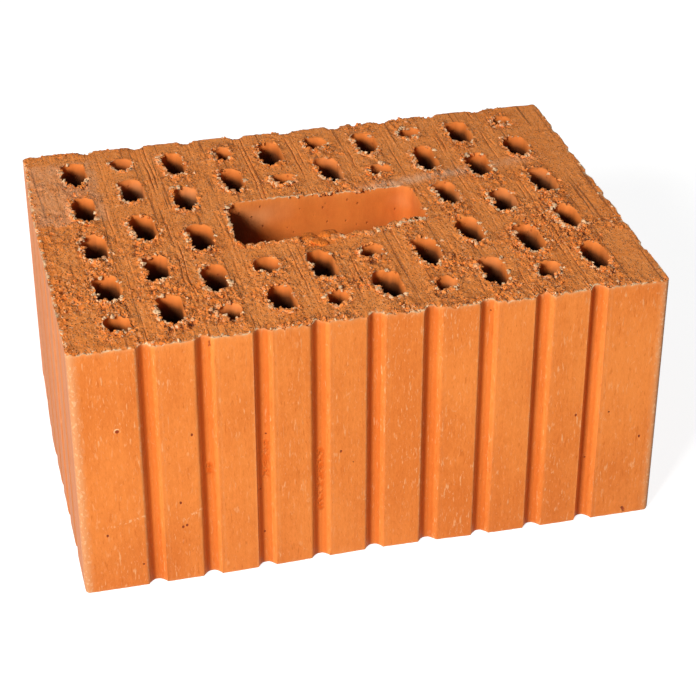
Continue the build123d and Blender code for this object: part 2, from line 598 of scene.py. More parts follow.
def rim_tear(x, y, void_x, void_y, outer, finish, seed):
    """How far a rim is torn out over its void, in mm, its single teeth, and how strongly it is torn.

    Ragged noise of three sizes, strongest where the wire left the clay, at the front and left rims. A
    tooth is a random number for each place on the rim."""
    front = np.maximum(void_y, 0)
    left = np.maximum(void_x, 0)
    torn = LEAST_TEAR + MORE_TEAR * np.maximum(front, LEFT_TEAR * left)
    strength = np.where(outer, LEAST_TEAR - CALM_FRONT * front, torn)
    ragged = noise_of("ragged_coarse", x, y, seed) + noise_of("ragged_fine", x, y, seed)
    ragged = ragged + np.sign(noise_of("notch_side", x, y, seed)) * noise_of("notch", x, y, seed)
    place = [np.round(axis * TEETH_PER_MM).astype(np.int64) for axis in (x, y)]
    tooth = 2 * scrambled(*place, 7, seed) - 1
    return finish["tear"] * strength * ragged, TOOTH_LENGTH * strength**2 * tooth, strength


# Flaps smeared into single holes: the middle of each in the plan, its reach and its spread, in mm.
FLAPS = (
    (98.0, 61.0, 4.6, 6.0),
    (-38.0, 67.0, 2.8, 3.5),
    (32.5, 29.5, 3.2, 4.5),
    (-9.0, 29.5, 2.4, 4.0),
    (11.0, -41.5, 2.6, 5.0),
    (36.0, -73.0, 3.0, 4.5),
)
# Crumbs in a hole's front corner: their spread in mm, and their share where the half length is short.
FILL_SPREAD = (2.4, 4.2)
SHORT_HALF = 8.0
SHORT_SHARE = 0.5


def smeared(from_x, from_y, reach, spread):
    """How far clay smeared round a place reaches: a bell of the distance to it."""
    return reach * np.exp(-((from_x / spread) ** 2) - (from_y / spread) ** 2)


def corner_fill(x, y, holes, finish, seed):
    """How far crumbs fill the front corners of each small hole, in mm, with a random reach for each, and
    how far the flaps reach."""
    rng = np.random.default_rng(seed + 15)
    fill = np.zeros(np.shape(x))
    for centre_x, centre_y, half_x, half_y, _ in holes[:-1]:
        for side in (-1, 1):
            share = 1.0 if half_y > SHORT_HALF else SHORT_SHARE
            reach = finish["corner_fill"] * rng.uniform(0, 1) * share
            spread = rng.uniform(*FILL_SPREAD)
            corner = smeared(x - centre_x - side * half_x, y - centre_y + half_y, reach, spread)
            fill = np.maximum(fill, corner)
    for centre_x, centre_y, reach, spread in FLAPS:
        fill = np.maximum(fill, smeared(x - centre_x, y - centre_y, reach, spread))
    return fill


# Burr in the end grooves, at the left end and at the right: its share of the groove at the rim, and how
# far down it goes. It stands in a strip that begins and is full at these distances from the end, in mm.
END_BURRS = ((0.95, 9.0), (0.6, 6.0))
END_STRIP = (7.0, 3.5)


def end_burr(x, y, under, plan):
    """How far the burr of the cut fills the end grooves, in mm, at a depth under the upper rim.

    Nearly all of a groove at the left end's rim and over half at the right end's, dying away below."""
    left, right = [most * bell(under, reach) for most, reach in END_BURRS]
    near_end = fade(*[LENGTH / 2 - gap for gap in END_STRIP], np.abs(x))
    return np.sign(x) * near_end * np.where(x < 0, left, right) * groove_recess(y, WIDTH, plan)


# Front rim of the hand hole, from its left corner to its right one: how far the burr pile stands into
# it, in mm. Scallops of this depth and length lie on it, and places this near the rim belong to it.
GRIP_RIM_X = (-41.0, -30.0, -16.0, 0.0, 12.0, 22.0, 32.0, 41.0)
GRIP_RIM_OUT = (0.0, 0.4, -0.6, -1.6, -1.4, 0.8, 3.6, 5.4)
SCALLOP_DEPTH = 1.8
SCALLOP_LENGTH = 4.6
NEAR_GRIP = 7.0


def grip_pile(x, y, void_y, plan):
    """How far the burrs pushed along by the wire lean over the front rim of the hand hole, in scallops."""
    near = (np.abs(x) < plan["grip_length"] / 2 + 1) & (np.abs(y + plan["grip_width"] / 2) < NEAR_GRIP)
    scallops = SCALLOP_DEPTH * np.abs(grain(x, 0 * x, 0.5, (SCALLOP_LENGTH, 1, 1), 91)) - 0.5
    return np.where(near, (np.interp(x, GRIP_RIM_X, GRIP_RIM_OUT) + scallops) * np.maximum(void_y, 0), 0)


# Strong drag lines of a web: offset from its middle in mm and depth; the length over which a line comes
# and goes; the width of its bell. Weak lines lie one to a spacing.
LINE_OFFSETS = (-1.1, 1.0, -2.6, 2.5, 0.0, 3.7)
LINE_DEPTHS = (0.85, 0.8, 0.3, 0.35, 0.15, 0.2)
LINE_LENGTH = 17.0
LINE_WIDTH = 0.26
WEAK_SPACING = 2.7
WEAK_LENGTH = 30.0
WEAK_WIDTH = 0.5
WEAK_DEPTH = 0.12


def drag_lines(x, y, plan, seed):
    """Depth of the wire's drag lines, 0 to 1: strong ones in the middle of each web, weaker ones between.

    Each line is a bell across X round its own place, and its depth comes and goes along Y."""
    depth = np.zeros(np.shape(x))
    rng = np.random.default_rng(seed)
    count = len(LINE_OFFSETS)
    for index, web in enumerate(web_places(plan)):
        offsets = np.array(LINE_OFFSETS) + rng.uniform(-0.3, 0.3, count)
        depths = np.array(LINE_DEPTHS) * rng.uniform(0.5, 1.1, count)
        for number, (offset, deep) in enumerate(zip(offsets, depths)):
            layer = 10 * index + number + 0.5
            comes = np.clip(0.6 + 1.1 * grain(0 * x, y, layer, (1, LINE_LENGTH, 1), seed + 22), 0, 1)
            depth = np.maximum(depth, deep * comes * bell(x - web - offset, LINE_WIDTH))
    column = np.floor(x / WEAK_SPACING).astype(np.int64)
    for step in (-1, 0, 1):
        cell = column + step
        place = (cell + 0.2 + 0.6 * scrambled(cell, cell, 5, seed)) * WEAK_SPACING
        comes = np.clip(1.6 * grain(cell + 0.5, y, 0.5, (1, WEAK_LENGTH, 1), seed + 23), 0, 1)
        depth = np.maximum(depth, WEAK_DEPTH * comes * bell(x - place, WEAK_WIDTH))
    return depth


# How crumbly the cut is: everywhere, more of it from one place to another along Y, more of it from one
# distance from a hole column to another, more of it at the left end, and beside a torn rim. Then its least,
# and the power that sets the crumbly places apart.
CRUMBLY = 0.12
CRUMBLY_FRONT = (0.3, 45.0, -35.0)
CRUMBLY_BESIDE = (0.3, 8.0, 4.5)
CRUMBLY_END = (0.1, -96.0, -114.0)
CRUMBLY_RUBBLE = 0.7
CRUMBLY_LEAST = 0.05
CRUMBLY_POWER = 1.5
# Pits of the cut and its broken plates: their spacing along X and Y in mm, the share of places that hold a
# pit, how much of the sway the plates take, their height in mm, and how strongly painted shade darkens pits
# and drag lines.
PIT_SIZE = (2.6, 4.2)
PIT_SHARE = 0.5
PLATE_SIZE = (1.9, 2.9)
PLATE_SWAY = 0.6
PLATE_HEIGHT = 0.55
PIT_SHADE = 0.85
LINE_SHADE = 1.2


def more_where(step, value):
    """An amount that sets in as the value goes from the first place to the second."""
    amount, start, full = step
    return amount * fade(start, full, value)


def cut_relief(x, y, plan, finish, seed, rubble=0.0):
    """Height of the cut over its mean plane in mm, with how deep it is cut, 0 to 1, and how crumbly.

    Pits and raised flakes longer front to back than across, drag lines, and a slow swell of the whole
    face. The front half and the short webs between the holes of a column, where the wire tore the clay,
    have more of them, and so has any place with `rubble`, 0 to 1, on it."""
    beside = np.abs(np.asarray(x)[..., None] - column_places(plan)).min(axis=-1)
    crumbly = CRUMBLY + more_where(CRUMBLY_FRONT, y) + more_where(CRUMBLY_BESIDE, beside)
    crumbly = crumbly + noise_of("crumbly", x, y, seed)
    crumbly = np.clip(crumbly + more_where(CRUMBLY_END, x), CRUMBLY_LEAST, 1) ** CRUMBLY_POWER
    crumbly = np.clip(crumbly + CRUMBLY_RUBBLE * rubble, 0, 1)
    sway_x = noise_of("sway_x", x, y, seed)
    sway_y = noise_of("sway_y", x, y, seed)
    pits = bowls(x + sway_x, y + sway_y, PIT_SIZE, PIT_SHARE, seed + 33)
    broken = plates(x + PLATE_SWAY * sway_x, y + PLATE_SWAY * sway_y, PLATE_SIZE, seed + 34)
    lines = drag_lines(x, y, plan, seed)
    height = noise_of("swell", x, y, seed) + noise_of("ribs", x, y, seed) + PLATE_HEIGHT * crumbly * broken
    height = height - finish["pit_depth"] * crumbly * pits - finish["line_depth"] * lines
    # The cavity mark sets how much painted shade darkens the pits and drag lines.
    cavity = np.clip(np.maximum(PIT_SHADE * crumbly * pits, LINE_SHADE * lines), 0, 1)
    return height, cavity, crumbly


# Clay between the bright lumps at the hand hole's front rim: middle and half sizes in mm, and the cleft
# in it, which leans as it goes back.
LUMP_MIDDLE = (-8.0, -23.0)
LUMP_HALVES = (7.5, 4.6)
CLEFT_SHIFT = 7.4
CLEFT_LEAN = 0.3
CLEFT_WIDTH = 0.7
CLEFT_DEPTH = 0.6


def orange_lump(x, y):
    """The bright lump that the wire left in front of the hand hole: a cleft dome, 0 to 1."""
    back = y - LUMP_MIDDLE[1]
    dome = 1 - ((x - LUMP_MIDDLE[0]) / LUMP_HALVES[0]) ** 2 - (back / LUMP_HALVES[1]) ** 2
    cleft = bell(x + CLEFT_SHIFT + CLEFT_LEAN * back, CLEFT_WIDTH)
    return np.clip(dome, 0, 1) * (1 - CLEFT_DEPTH * cleft)


# Dust, in mm: edges of the patch at the back left, and the band right of the hand hole, which slants, with
# where along X it comes, thins to half and ends.
PATCH_RIGHT = (-87.0, -91.0)
PATCH_FRONT = (16.0, 20.0)
PATCH_BACK = (75.5, 72.0)
BAND_PLACE = (42.0, 23.0)
BAND_SLANT = 0.14
BAND_WIDTH = 3.4
BAND_START = (6.0, 30.0)
BAND_THINS = (84.0, 64.0)
BAND_END = (110.0, 92.0)
PATCH_SHARE = 0.5
BAND_SHARE = 0.95
DUST_LEFT = 0.75


def dust_on(x, y, seed):
    """Share of grey-beige dust on the cut: a patch at the back left and a band right of the hand hole."""
    blur = noise_of("dust_edge", x, y, seed)
    patch = fade(*PATCH_RIGHT, x + blur) * fade(*PATCH_FRONT, y + blur) * fade(*PATCH_BACK, y + blur)
    middle = BAND_PLACE[1] + BAND_SLANT * (x - BAND_PLACE[0])
    band = bell(y - middle, BAND_WIDTH) * fade(*BAND_START, x)
    band = band * (0.5 + 0.5 * fade(*BAND_THINS, x)) * fade(*BAND_END, x)
    worn = np.clip(DUST_LEFT + noise_of("dust_worn", x, y, seed), 0, 1)
    return np.clip(PATCH_SHARE * patch + BAND_SHARE * band, 0, 1) * worn


# How far the tear, its teeth, the pile at the hand hole and the fill of the corners reach into the cut
# and down the walls, in mm.
CUT_REACHES = (1.3, 0.3, 6.0, 3.5)
WALL_REACHES = (1.0, 0.35, 3.0, 2.5)
# Rubble beside the outline and at filled corners, and how far in mm it and the end burr reach in.
OUTER_RUBBLE = 0.3
FILL_RUBBLE = 0.3
RIM_REACH = 3.0
# Height of the torn lips in mm, their reach and their least share; how far the outline is rounded down
# at the front and how much more at the back; the bed of the bright lump.
LIP_HEIGHT = 0.5
LIP_REACH = 1.1
LIP_SHARE = 0.35
ROUND_FRONT = 0.35
ROUND_BACK = 0.5
ROUND_REACH = 0.6
ROUND_SPAN = (40, 80)
LUMP_BED = 0.6
# How the pile lifts the cut and the fill lowers it, each up to this many mm of it, and their reaches.
PILE_LIFT = 0.12
FILL_SINK = 0.3
MOST_HEAPED = 3
LIFT_REACH = 4.0
SINK_REACH = 1.5
# Least gap under the stored height in mm, and how sharply the burrs are pressed under it.
TOP_GAP = 0.02
PRESS = 5
# Paleness of the outline's rim and of the hand hole's back rim, pale clay with painted highlights, with the
# left part where that sets in, the mean of its ragged noise and its reach in mm.
PALE_RIM = 0.9
PALE_MEAN = 0.75
PALE_WIDTH = 1.0
GRIP_BACK_X = (-30, -12)
# Fresh clay: its share, and where it sets in at the left end.
FRESH_SHARE = 0.8
FRESH_END_X = (-113, -119)


def rim_state(x, y, void_x, void_y, plan, finish, holes, seed):
    """Whether a rim place lies on the outline, how strongly it is torn, and what leans over its void: the
    tear, its teeth, the pile at the hand hole and the fill of the corners, in mm."""
    outer = on_outline(x, y, plan, holes)
    tear, tooth, strength = rim_tear(x, y, void_x, void_y, outer, finish, seed)
    fill = np.where(outer, 0, corner_fill(x, y, holes, finish, seed))
    return outer, strength, (tear, tooth, grip_pile(x, y, void_y, plan), fill)


def leaning(parts, away, reaches):
    """How far a rim's clay stands out over its void, in mm: each part dies away with its own reach."""
    return sum(part * dying(away, reach) for part, reach in zip(parts, reaches))


def top_surface(x, y, plan, finish, holes, seed):
    """Place, height and finish of the upper cut at each place in the die's plan.

    The height is the cut plane, plus the relief, plus lips along the torn rims."""
    clay, void_x, void_y = towards_void(x, y, plan, holes)
    clay = np.maximum(clay, 0)
    edge_x = x + clay * void_x
    edge_y = y + clay * void_y
    outer, strength, parts = rim_state(edge_x, edge_y, void_x, void_y, plan, finish, holes, seed)
    _, _, pile, fill = parts
    rubble = np.where(outer, OUTER_RUBBLE, strength) * dying(clay, RIM_REACH)
    rubble = rubble + FILL_RUBBLE * fill * dying(clay, RIM_REACH)
    relief, cavity, crumbly = cut_relief(x, y, plan, finish, seed, rubble)
    real_x, real_y = drifted(x, y, plan, seed)
    out = leaning(parts, clay, CUT_REACHES)
    real_x = real_x + out * void_x + end_burr(x, y, 0, plan) * dying(clay, RIM_REACH)
    real_y = real_y + out * void_y
    lump = orange_lump(x, y)
    jagged = LIP_SHARE + noise_of("lip", edge_x, edge_y, seed)
    lip = LIP_HEIGHT * strength * dying(clay, LIP_REACH) * jagged
    rounded = (ROUND_FRONT + ROUND_BACK * fade(*ROUND_SPAN, y)) * dying(clay, ROUND_REACH)
    height = HEIGHT - finish["relief"] + relief + lip - np.where(outer, rounded, 0.0) - LUMP_BED * lump
    height = height + PILE_LIFT * np.clip(pile, 0, MOST_HEAPED) * dying(clay, LIFT_REACH)
    height = height - FILL_SINK * np.clip(fill, 0, MOST_HEAPED) * dying(clay, SINK_REACH)
    height = HEIGHT - TOP_GAP - np.log1p(np.exp(PRESS * (HEIGHT - TOP_GAP - height))) / PRESS
    # Pale rims: pale torn clay, partly painted highlights.
    ragged = np.clip(PALE_MEAN + noise_of("pale", edge_x, edge_y, seed), 0, 1)
    at_back = np.abs(edge_y - plan["grip_width"] / 2) < 0.5
    grip_back = (np.abs(edge_x) < plan["grip_length"] / 2) & at_back
    ragged = np.maximum(ragged, PALE_RIM * grip_back * fade(*GRIP_BACK_X, edge_x))
    pale = np.where(outer | grip_back, PALE_RIM, strength) * ragged * dying(clay, PALE_WIDTH)
    marks = finish_marks(
        np.shape(x),
        torn=np.clip(pale, 0, 1),
        cavity=cavity * (1 - lump),
        dust=dust_on(real_x, real_y, seed),
        fresh=np.clip(FRESH_SHARE * lump + FRESH_SHARE * fade(*FRESH_END_X, x) * crumbly, 0, 1),
        crumbly=crumbly,
    )
    return real_x, real_y, np.minimum(height, HEIGHT - TOP_GAP / 2), marks


# Pale lips of a groove: share at the right lip and how much more at the left one, distance out from the
# mouth and width of the bell, in mm. The right lip has a second one, farther out.
LIP_RIGHT = 0.15
LIP_LEFT = 0.55
LIP_OUT = 0.3
SECOND_LIP = 0.25
SECOND_OUT = 1.9
LIP_BELL = 0.35
# Upright corners: distances from an end and from a long face where their pale edge begins and is full.
CORNER_END = (4.8, 1.5)
CORNER_FACE = (5.0, 1.5)
# Painted shade inside a groove: where it is full on the left flank and on the right one, and its share on
# the right one.
LEFT_INSIDE = 1.5
RIGHT_INSIDE = 2.6
RIGHT_MARGIN = 0.9
RIGHT_SHARE = 0.6


def side_marks(x, y, void_x, void_y, outer, plan):
    """Pale lines along the groove lips and the upright corners, and painted shade inside the grooves.

    A lip is a bell across the groove's edge, stronger at its left side."""
    on_face = np.abs(void_y) > np.abs(void_x)
    offset = np.where(on_face, groove_offset(x, LENGTH, plan), groove_offset(y, WIDTH, plan))
    gap = np.abs(offset)
    mouth = plan["groove_mouth"] / 2
    left = fade(1.0, -1.0, offset)
    lip = (LIP_RIGHT + LIP_LEFT * left) * bell(gap - mouth - LIP_OUT, LIP_BELL)
    lip = lip + SECOND_LIP * (1 - left) * bell(gap - mouth - SECOND_OUT, LIP_BELL)
    near_end = fade(*[LENGTH / 2 - edge for edge in CORNER_END], np.abs(x))
    corner = near_end * fade(*[WIDTH / 2 - edge for edge in CORNER_FACE], np.abs(y))
    inside = RIGHT_SHARE * (1 - left) * fade(mouth + RIGHT_MARGIN, RIGHT_INSIDE, gap)
    inside = np.maximum(fade(mouth, LEFT_INSIDE, gap) * left, inside)
    return np.where(outer, np.maximum(lip, corner), 0), np.where(outer, inside, 0)


# Rows of the walls: depths under the torn rim, and then heights over the underside, in mm.
WALL_DEPTHS = (0.45, 1.2, 2.8, 6.0)
WALL_HEIGHTS = (102.0, 78.0, 40.0, 1.6)
# Lower rim: its least height in mm, the share of the tear that it has, how far up that goes, and how far
# down the walls the cut's crumbly clay goes.
LOW_RIM = 0.02
LOW_TEAR = 0.4
TEAR_UP = 1.0
CRUMBLY_DOWN = 2.0
# On the sides, and where there are two numbers on the walls of the holes: share of the waviness, how far
# the skin lies inside the stored box, how far the lower edge is rounded in, and how pale it is.
SIDE_WAVE = 0.35
SKIN_INSET = 0.06
LOW_EDGE = (0.5, 0.25)
LOW_PALE = 0.35
LOW_REACH = 0.5
# How far the pale rim, pale clay with painted highlights, runs down, at the hand hole's back and elsewhere,
# and how much paler it is on the outline and at the hand hole's back.
PALE_REACH = (0.8, 0.5)
PALER = 2.4
# Where a shadow is painted into the hand hole's left, and depths over which painted shade darkens the
# holes.
PAINTED_SHADOW_SHARE = 0.9
PAINTED_SHADOW_X = (-20, -40)
PAINTED_SHADOW_DEPTH = (0, 13)
GRIP_SHADE = 0.7
GRIP_SHADE_DEPTHS = (12, 70)
HOLE_SHADE_DEPTHS = (1, 7.8)


def wall_rows(x, y, top, plan, finish, holes, seed):
    """The walls under the rims: each row is the plan's edge, with the tear dying away from the cut, and a
    slow wave along the wall. Returns the rows from just under the top rim down to the lower rim."""
    _, void_x, void_y = towards_void(x, y, plan, holes)
    outer, strength, parts = rim_state(x, y, void_x, void_y, plan, finish, holes, seed)
    low_tear, _, _ = rim_tear(x, y, -void_x, -void_y, outer, finish, seed + 100)
    in_grip = (np.abs(x) < plan["grip_length"] / 2 + 1) & (np.abs(y) < plan["grip_width"] / 2 + 1)
    grip_back = in_grip & (void_y < -0.7)
    real_x, real_y = drifted(x, y, plan, seed)
    heights = [top - depth for depth in WALL_DEPTHS]
    heights += [np.full(x.shape, height) for height in WALL_HEIGHTS]
    heights += [LOW_RIM + np.abs(noise_of("low_rim", x, y, seed))]
    arris, inside = side_marks(x, y, void_x, void_y, outer, plan)
    rows = []
    for height in heights:
        under = np.maximum(top - height, 0)
        wave = np.where(outer, SIDE_WAVE, 1.0) * finish["wall_wave"]
        wave = wave * noise_of("wall_wave", x, y, seed, height)
        out = leaning(parts, under, WALL_REACHES) + LOW_TEAR * low_tear * dying(height, TEAR_UP)
        out = out + wave - np.where(outer, SKIN_INSET, 0)
        out = out - np.where(outer, *LOW_EDGE) * dying(height, LOW_REACH)
        # Pale rims down the walls: pale torn clay, partly painted highlights.
        pale = strength * dying(under, np.where(grip_back, *PALE_REACH))
        pale = pale * np.where(outer | grip_back, PALER, 1.0)
        pale = pale + np.where(outer, LOW_PALE, 0) * dying(height, LOW_REACH)
        # The deep mark: a painted shadow in the hand hole's left corner, and painted shade that darkens
        # every hole with depth.
        painted_corner_shadow = PAINTED_SHADOW_SHARE * fade(*PAINTED_SHADOW_X, x) * fade(*PAINTED_SHADOW_DEPTH, under)
        grip_painted_shade = np.maximum(GRIP_SHADE * fade(*GRIP_SHADE_DEPTHS, under), painted_corner_shadow)
        deep = np.where(in_grip, grip_painted_shade, fade(*HOLE_SHADE_DEPTHS, under))
        # On the walls the fresh mark carries the painted shade inside the grooves.
        marks = finish_marks(
            x.shape,
            torn=np.clip(pale, 0, 1),
            fresh=inside,
            crumbly=dying(under, CRUMBLY_DOWN),
            arris=arris,
            deep=np.where(outer, 0, deep),
        )
        burr = np.where(outer, end_burr(x, y, under, plan), 0)
        rows.append((real_x + out * void_x + burr, real_y + out * void_y, height, marks))
    return rows


# Inner points of the underside: their step, how far each is moved at most, and the least distance from a
# rim, in mm. Points nearer to each other than the last number would be merged.
UNDER_STEP = 2.7
UNDER_MOVE = 0.7
UNDER_MARGIN = 1.3
MERGED_POINTS = 1e-6


def underside_fill(x, y, loops, plan, holes, seed):
    """Faces of the lower cut: constrained triangles between the rims over scattered inner points.

    `x`, `y` are the lower rim's plan places and `loops` its edges, as positions in that list."""
    across = np.arange(-LENGTH / 2, LENGTH / 2, UNDER_STEP)
    along = np.arange(-WIDTH / 2, WIDTH / 2, UNDER_STEP)
    inner_x, inner_y = [table.ravel() for table in np.meshgrid(across, along, indexing="ij")]
    rng = np.random.default_rng(seed)
    inner_x = inner_x + rng.uniform(-UNDER_MOVE, UNDER_MOVE, inner_x.size)
    inner_y = inner_y + rng.uniform(-UNDER_MOVE, UNDER_MOVE, inner_y.size)
    keep = clearance(inner_x, inner_y, plan, holes) > UNDER_MARGIN
    inner_x = inner_x[keep]
    inner_y = inner_y[keep]
    points = np.stack([np.concatenate([x, inner_x]), np.concatenate([y, inner_y])], axis=1)
    filled = delaunay_2d_cdt(points.tolist(), loops.tolist(), [], 1, MERGED_POINTS, False)
    if len(filled[0]) != len(points):
        raise RuntimeError("the underside's fill merged some points")
    faces = np.array(filled[2])
    middle = points[faces].mean(axis=1)
    faces = faces[clearance(middle[:, 0], middle[:, 1], plan, holes) > 0]
    first = points[faces[:, 1]] - points[faces[:, 0]]
    second = points[faces[:, 2]] - points[faces[:, 0]]
    up = first[:, 0] * second[:, 1] - first[:, 1] * second[:, 0] > 0
    faces[up] = faces[up][:, ::-1]
    return inner_x, inner_y, faces


def in_box(places, margin):
    """The places in mm, kept inside the CAD block's box, with a margin under its top."""
    low = (-LENGTH / 2, -WIDTH / 2, 0)
    return np.clip(places, low, (LENGTH / 2, WIDTH / 2, HEIGHT - margin))


# Underside, in mm: its mean height, the share of the relief that hangs under it, and its least and most.
UNDER_MEAN = 0.22
UNDER_RELIEF = 0.7
UNDER_LIMITS = (0.005, 1.1)


def block_arrays(plan, finish):
    """The whole block as vertex places in mm, faces with their skins, and the finish marks.

    The upper cut is the snapped grid, the walls are rows under its open edges, and the lower cut closes
    them."""
    holes = hole_table(plan)
    seed = finish["seed"]
    grid_x, grid_y, quads, triangles, edges = snapped_plan(plan, finish, holes)
    used = np.unique(np.concatenate([quads.ravel(), triangles.ravel()]))
    number = np.full(grid_x.size, -1)
    number[used] = np.arange(used.size)
    plan_x = grid_x[used]
    plan_y = grid_y[used]
    x, y, z, marks = top_surface(plan_x, plan_y, plan, finish, holes, seed)
    quads = number[quads]
    triangles = number[triangles]
    edges = number[edges]
    rim = np.unique(edges)
    if edges.shape[0] != rim.size:
        raise RuntimeError("the rim loops of the cut touch each other")
    position = np.full(used.size, -1)
    position[rim] = np.arange(rim.size)
    tails = position[edges[:, 0]]
    heads = position[edges[:, 1]]
    rows = wall_rows(plan_x[rim], plan_y[rim], z[rim], plan, finish, holes, seed)
    places = [np.stack([x, y, z], axis=1)]
    fields = [marks]
    wall_quads = []
    outer = on_outline(plan_x[rim], plan_y[rim], plan, holes)
    row_start = None
    for row, (row_x, row_y, row_z, row_marks) in enumerate(rows):
        start = used.size + row * rim.size
        upper = (rim[tails], rim[heads]) if row == 0 else (row_start + tails, row_start + heads)
        wall_quads.append(np.stack([upper[1], upper[0], start + tails, start + heads], axis=1))
        places.append(np.stack([row_x, row_y, row_z], axis=1))
        fields.append(row_marks)
        row_start = start
    loops = np.stack([tails, heads], axis=1)
    low_x, low_y, low_faces = underside_fill(plan_x[rim], plan_y[rim], loops, plan, holes, seed + 71)
    under, low_cavity, low_crumbly = cut_relief(low_x, low_y, plan, finish, seed + 72)
    real_x, real_y = drifted(low_x, low_y, plan, seed)
    low_z = np.clip(UNDER_MEAN - UNDER_RELIEF * under, *UNDER_LIMITS)
    places.append(np.stack([real_x, real_y, low_z], axis=1))
    fields.append(finish_marks(low_x.size, cavity=low_cavity, crumbly=low_crumbly))
    inner_start = used.size + len(rows) * rim.size
    low_faces = np.where(low_faces < rim.size, row_start + low_faces, inner_start + low_faces - rim.size)
    walls = np.concatenate(wall_quads)
    wall_skin = np.tile(np.where(outer[tails], DIE_SKIN, HOLE_SKIN), len(rows))
    faces = [quads, walls, triangles, low_faces]
    cut_skins = [np.full(len(part), CUT_CLAY) for part in (quads, triangles, low_faces)]
    skins = [cut_skins[0], wall_skin, *cut_skins[1:]]
    fields = {name: np.concatenate([part[name] for part in fields]) for name in fields[0]}
    return in_box(np.concatenate(places), 0), faces, skins, fields


# Edges sharper than this stay sharp under smooth shading.
SHARP_ANGLE = math.radians(52)


def made_piece(name, places, faces, skins, fields, materials):
    """A mesh object from arrays: places in mm, lists of quads and triangles, and each face's material."""
    mesh = bpy.data.meshes.new(name)
    corners = np.concatenate([part.ravel() for part in faces])
    sizes = np.concatenate([np.full(len(part), part.shape[1]) for part in faces])
    starts = np.concatenate([[0], np.cumsum(sizes)[:-1]])
    mesh.vertices.add(len(places))
    mesh.vertices.foreach_set("co", (places * MM).astype(np.float32).ravel())
    mesh.loops.add(len(corners))
    mesh.loops.foreach_set("vertex_index", corners.astype(np.int32))
    mesh.polygons.add(len(sizes))
    mesh.polygons.foreach_set("loop_start", starts.astype(np.int32))
    mesh.polygons.foreach_set("loop_total", sizes.astype(np.int32))
    mesh.polygons.foreach_set("material_index", np.concatenate(skins).astype(np.int32))
    mesh.polygons.foreach_set("use_smooth", np.ones(len(sizes), bool))
    mesh.update(calc_edges=True)
    if mesh.validate():
        raise RuntimeError(f"{name} had faulty faces")
    for mark, values in fields.items():
        attribute = mesh.attributes.new(mark, "FLOAT", "POINT")
        attribute.data.foreach_set("value", values.astype(np.float32))
    for material in materials:
        mesh.materials.append(material)
    mesh.set_sharp_from_angle(angle=SHARP_ANGLE)
    piece = bpy.data.objects.new(name, mesh)
    bpy.context.scene.collection.objects.link(piece)
    return piece


def carried(piece):
    """The piece stands for the CAD block and moves with it."""
    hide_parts("brick")
    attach(piece, "root")


# Bright lumps smeared over the front rim of the hand hole: place in the plan and radius, in mm.
LUMPS = (
    (-12.0, -17.2, 4.5),
    (-4.4, -16.8, 4.8),
    (-8.4, -22.4, 3.0),
)


def skewed(rng, count, most, power):
    """Random amounts up to `most`, the small ones more often: its product with a share to this power."""
    return most * rng.uniform(0, 1, count) ** power


# Chance of a crumb at a rim: everywhere in the holes, more at a left rim, more where crumbs fill a corner;
# on the outline, more at the left end and less at the front. Clumps raise and lower it between limits.
HOLE_CHANCE = 0.10
LEFT_CHANCE = 0.8
FILL_CHANCE = 0.35
OUTLINE_CHANCE = 0.08
END_CHANCE = 0.25
FRONT_CHANCE = 0.06
CLUMPS_MEAN = 0.45
CLUMPS_LIMITS = (0.05, 1.5)
# Part of the hand hole's front rim that is left to the bright lump: its middle and half sizes, in mm.
BARE_MIDDLE = (-8, -19)
BARE_HALVES = (8.5, 3)
# Crumbs at rims, in mm: how far in from the outline, how far in from a hole's rim, how far beside it, the
# smallest radius, how much larger one can be with the power of the draw, and the share on the outline.
# Paleness, pale clay with painted highlights, and fresh colour are the most of each, with the power of its
# draw.
OUTLINE_IN = 0.9
HOLE_IN = (-0.45, 0.8)
BESIDE = 0.4
RIM_LEAST = 0.4
RIM_LARGER = (0.75, 1.8)
OUTLINE_SIZE = 0.7
RIM_PALE = (0.95, 1.25)
RIM_FRESH = (0.25, 2.5)


def rim_spots(plan, finish, rng):
    """Where crumbs sit on the torn rims, in the die's plan, with radius, paleness and fresh colour."""
    holes = hole_table(plan)
    seed = finish["seed"]
    grid_x, grid_y, _, _, edges = snapped_plan(plan, finish, holes)
    rim = np.unique(edges)
    rim_x = grid_x[rim]
    rim_y = grid_y[rim]
    _, void_x, void_y = towards_void(rim_x, rim_y, plan, holes)
    outer = on_outline(rim_x, rim_y, plan, holes)
    fill = corner_fill(rim_x, rim_y, holes, finish, seed)
    clumps = np.clip(CLUMPS_MEAN + noise_of("clumps", rim_x, rim_y, seed), *CLUMPS_LIMITS)
    chance = HOLE_CHANCE + np.maximum(void_y, 0) + LEFT_CHANCE * np.maximum(void_x, 0)
    chance = chance * clumps + FILL_CHANCE * fill
    at_end = END_CHANCE * (rim_x < -LENGTH / 2 + 2)
    chance = np.where(outer, OUTLINE_CHANCE + at_end - FRONT_CHANCE * (void_y > 0.5), chance)
    bare = np.abs(rim_x - BARE_MIDDLE[0]) < BARE_HALVES[0]
    bare &= np.abs(rim_y - BARE_MIDDLE[1]) < BARE_HALVES[1]
    chance = np.where(bare, 0, chance)
    count = finish["crumbs_at_rims"]
    picked = rng.choice(rim.size, count, p=chance / chance.sum())
    inward = np.where(outer[picked], OUTLINE_IN, rng.uniform(*HOLE_IN, count))
    x = rim_x[picked] - inward * void_x[picked] + rng.uniform(-BESIDE, BESIDE, count)
    y = rim_y[picked] - inward * void_y[picked] + rng.uniform(-BESIDE, BESIDE, count)
    radius = RIM_LEAST + skewed(rng, count, *RIM_LARGER)
    radius = np.where(outer[picked], OUTLINE_SIZE * radius, radius)
    return x, y, radius, skewed(rng, count, *RIM_PALE), skewed(rng, count, *RIM_FRESH)


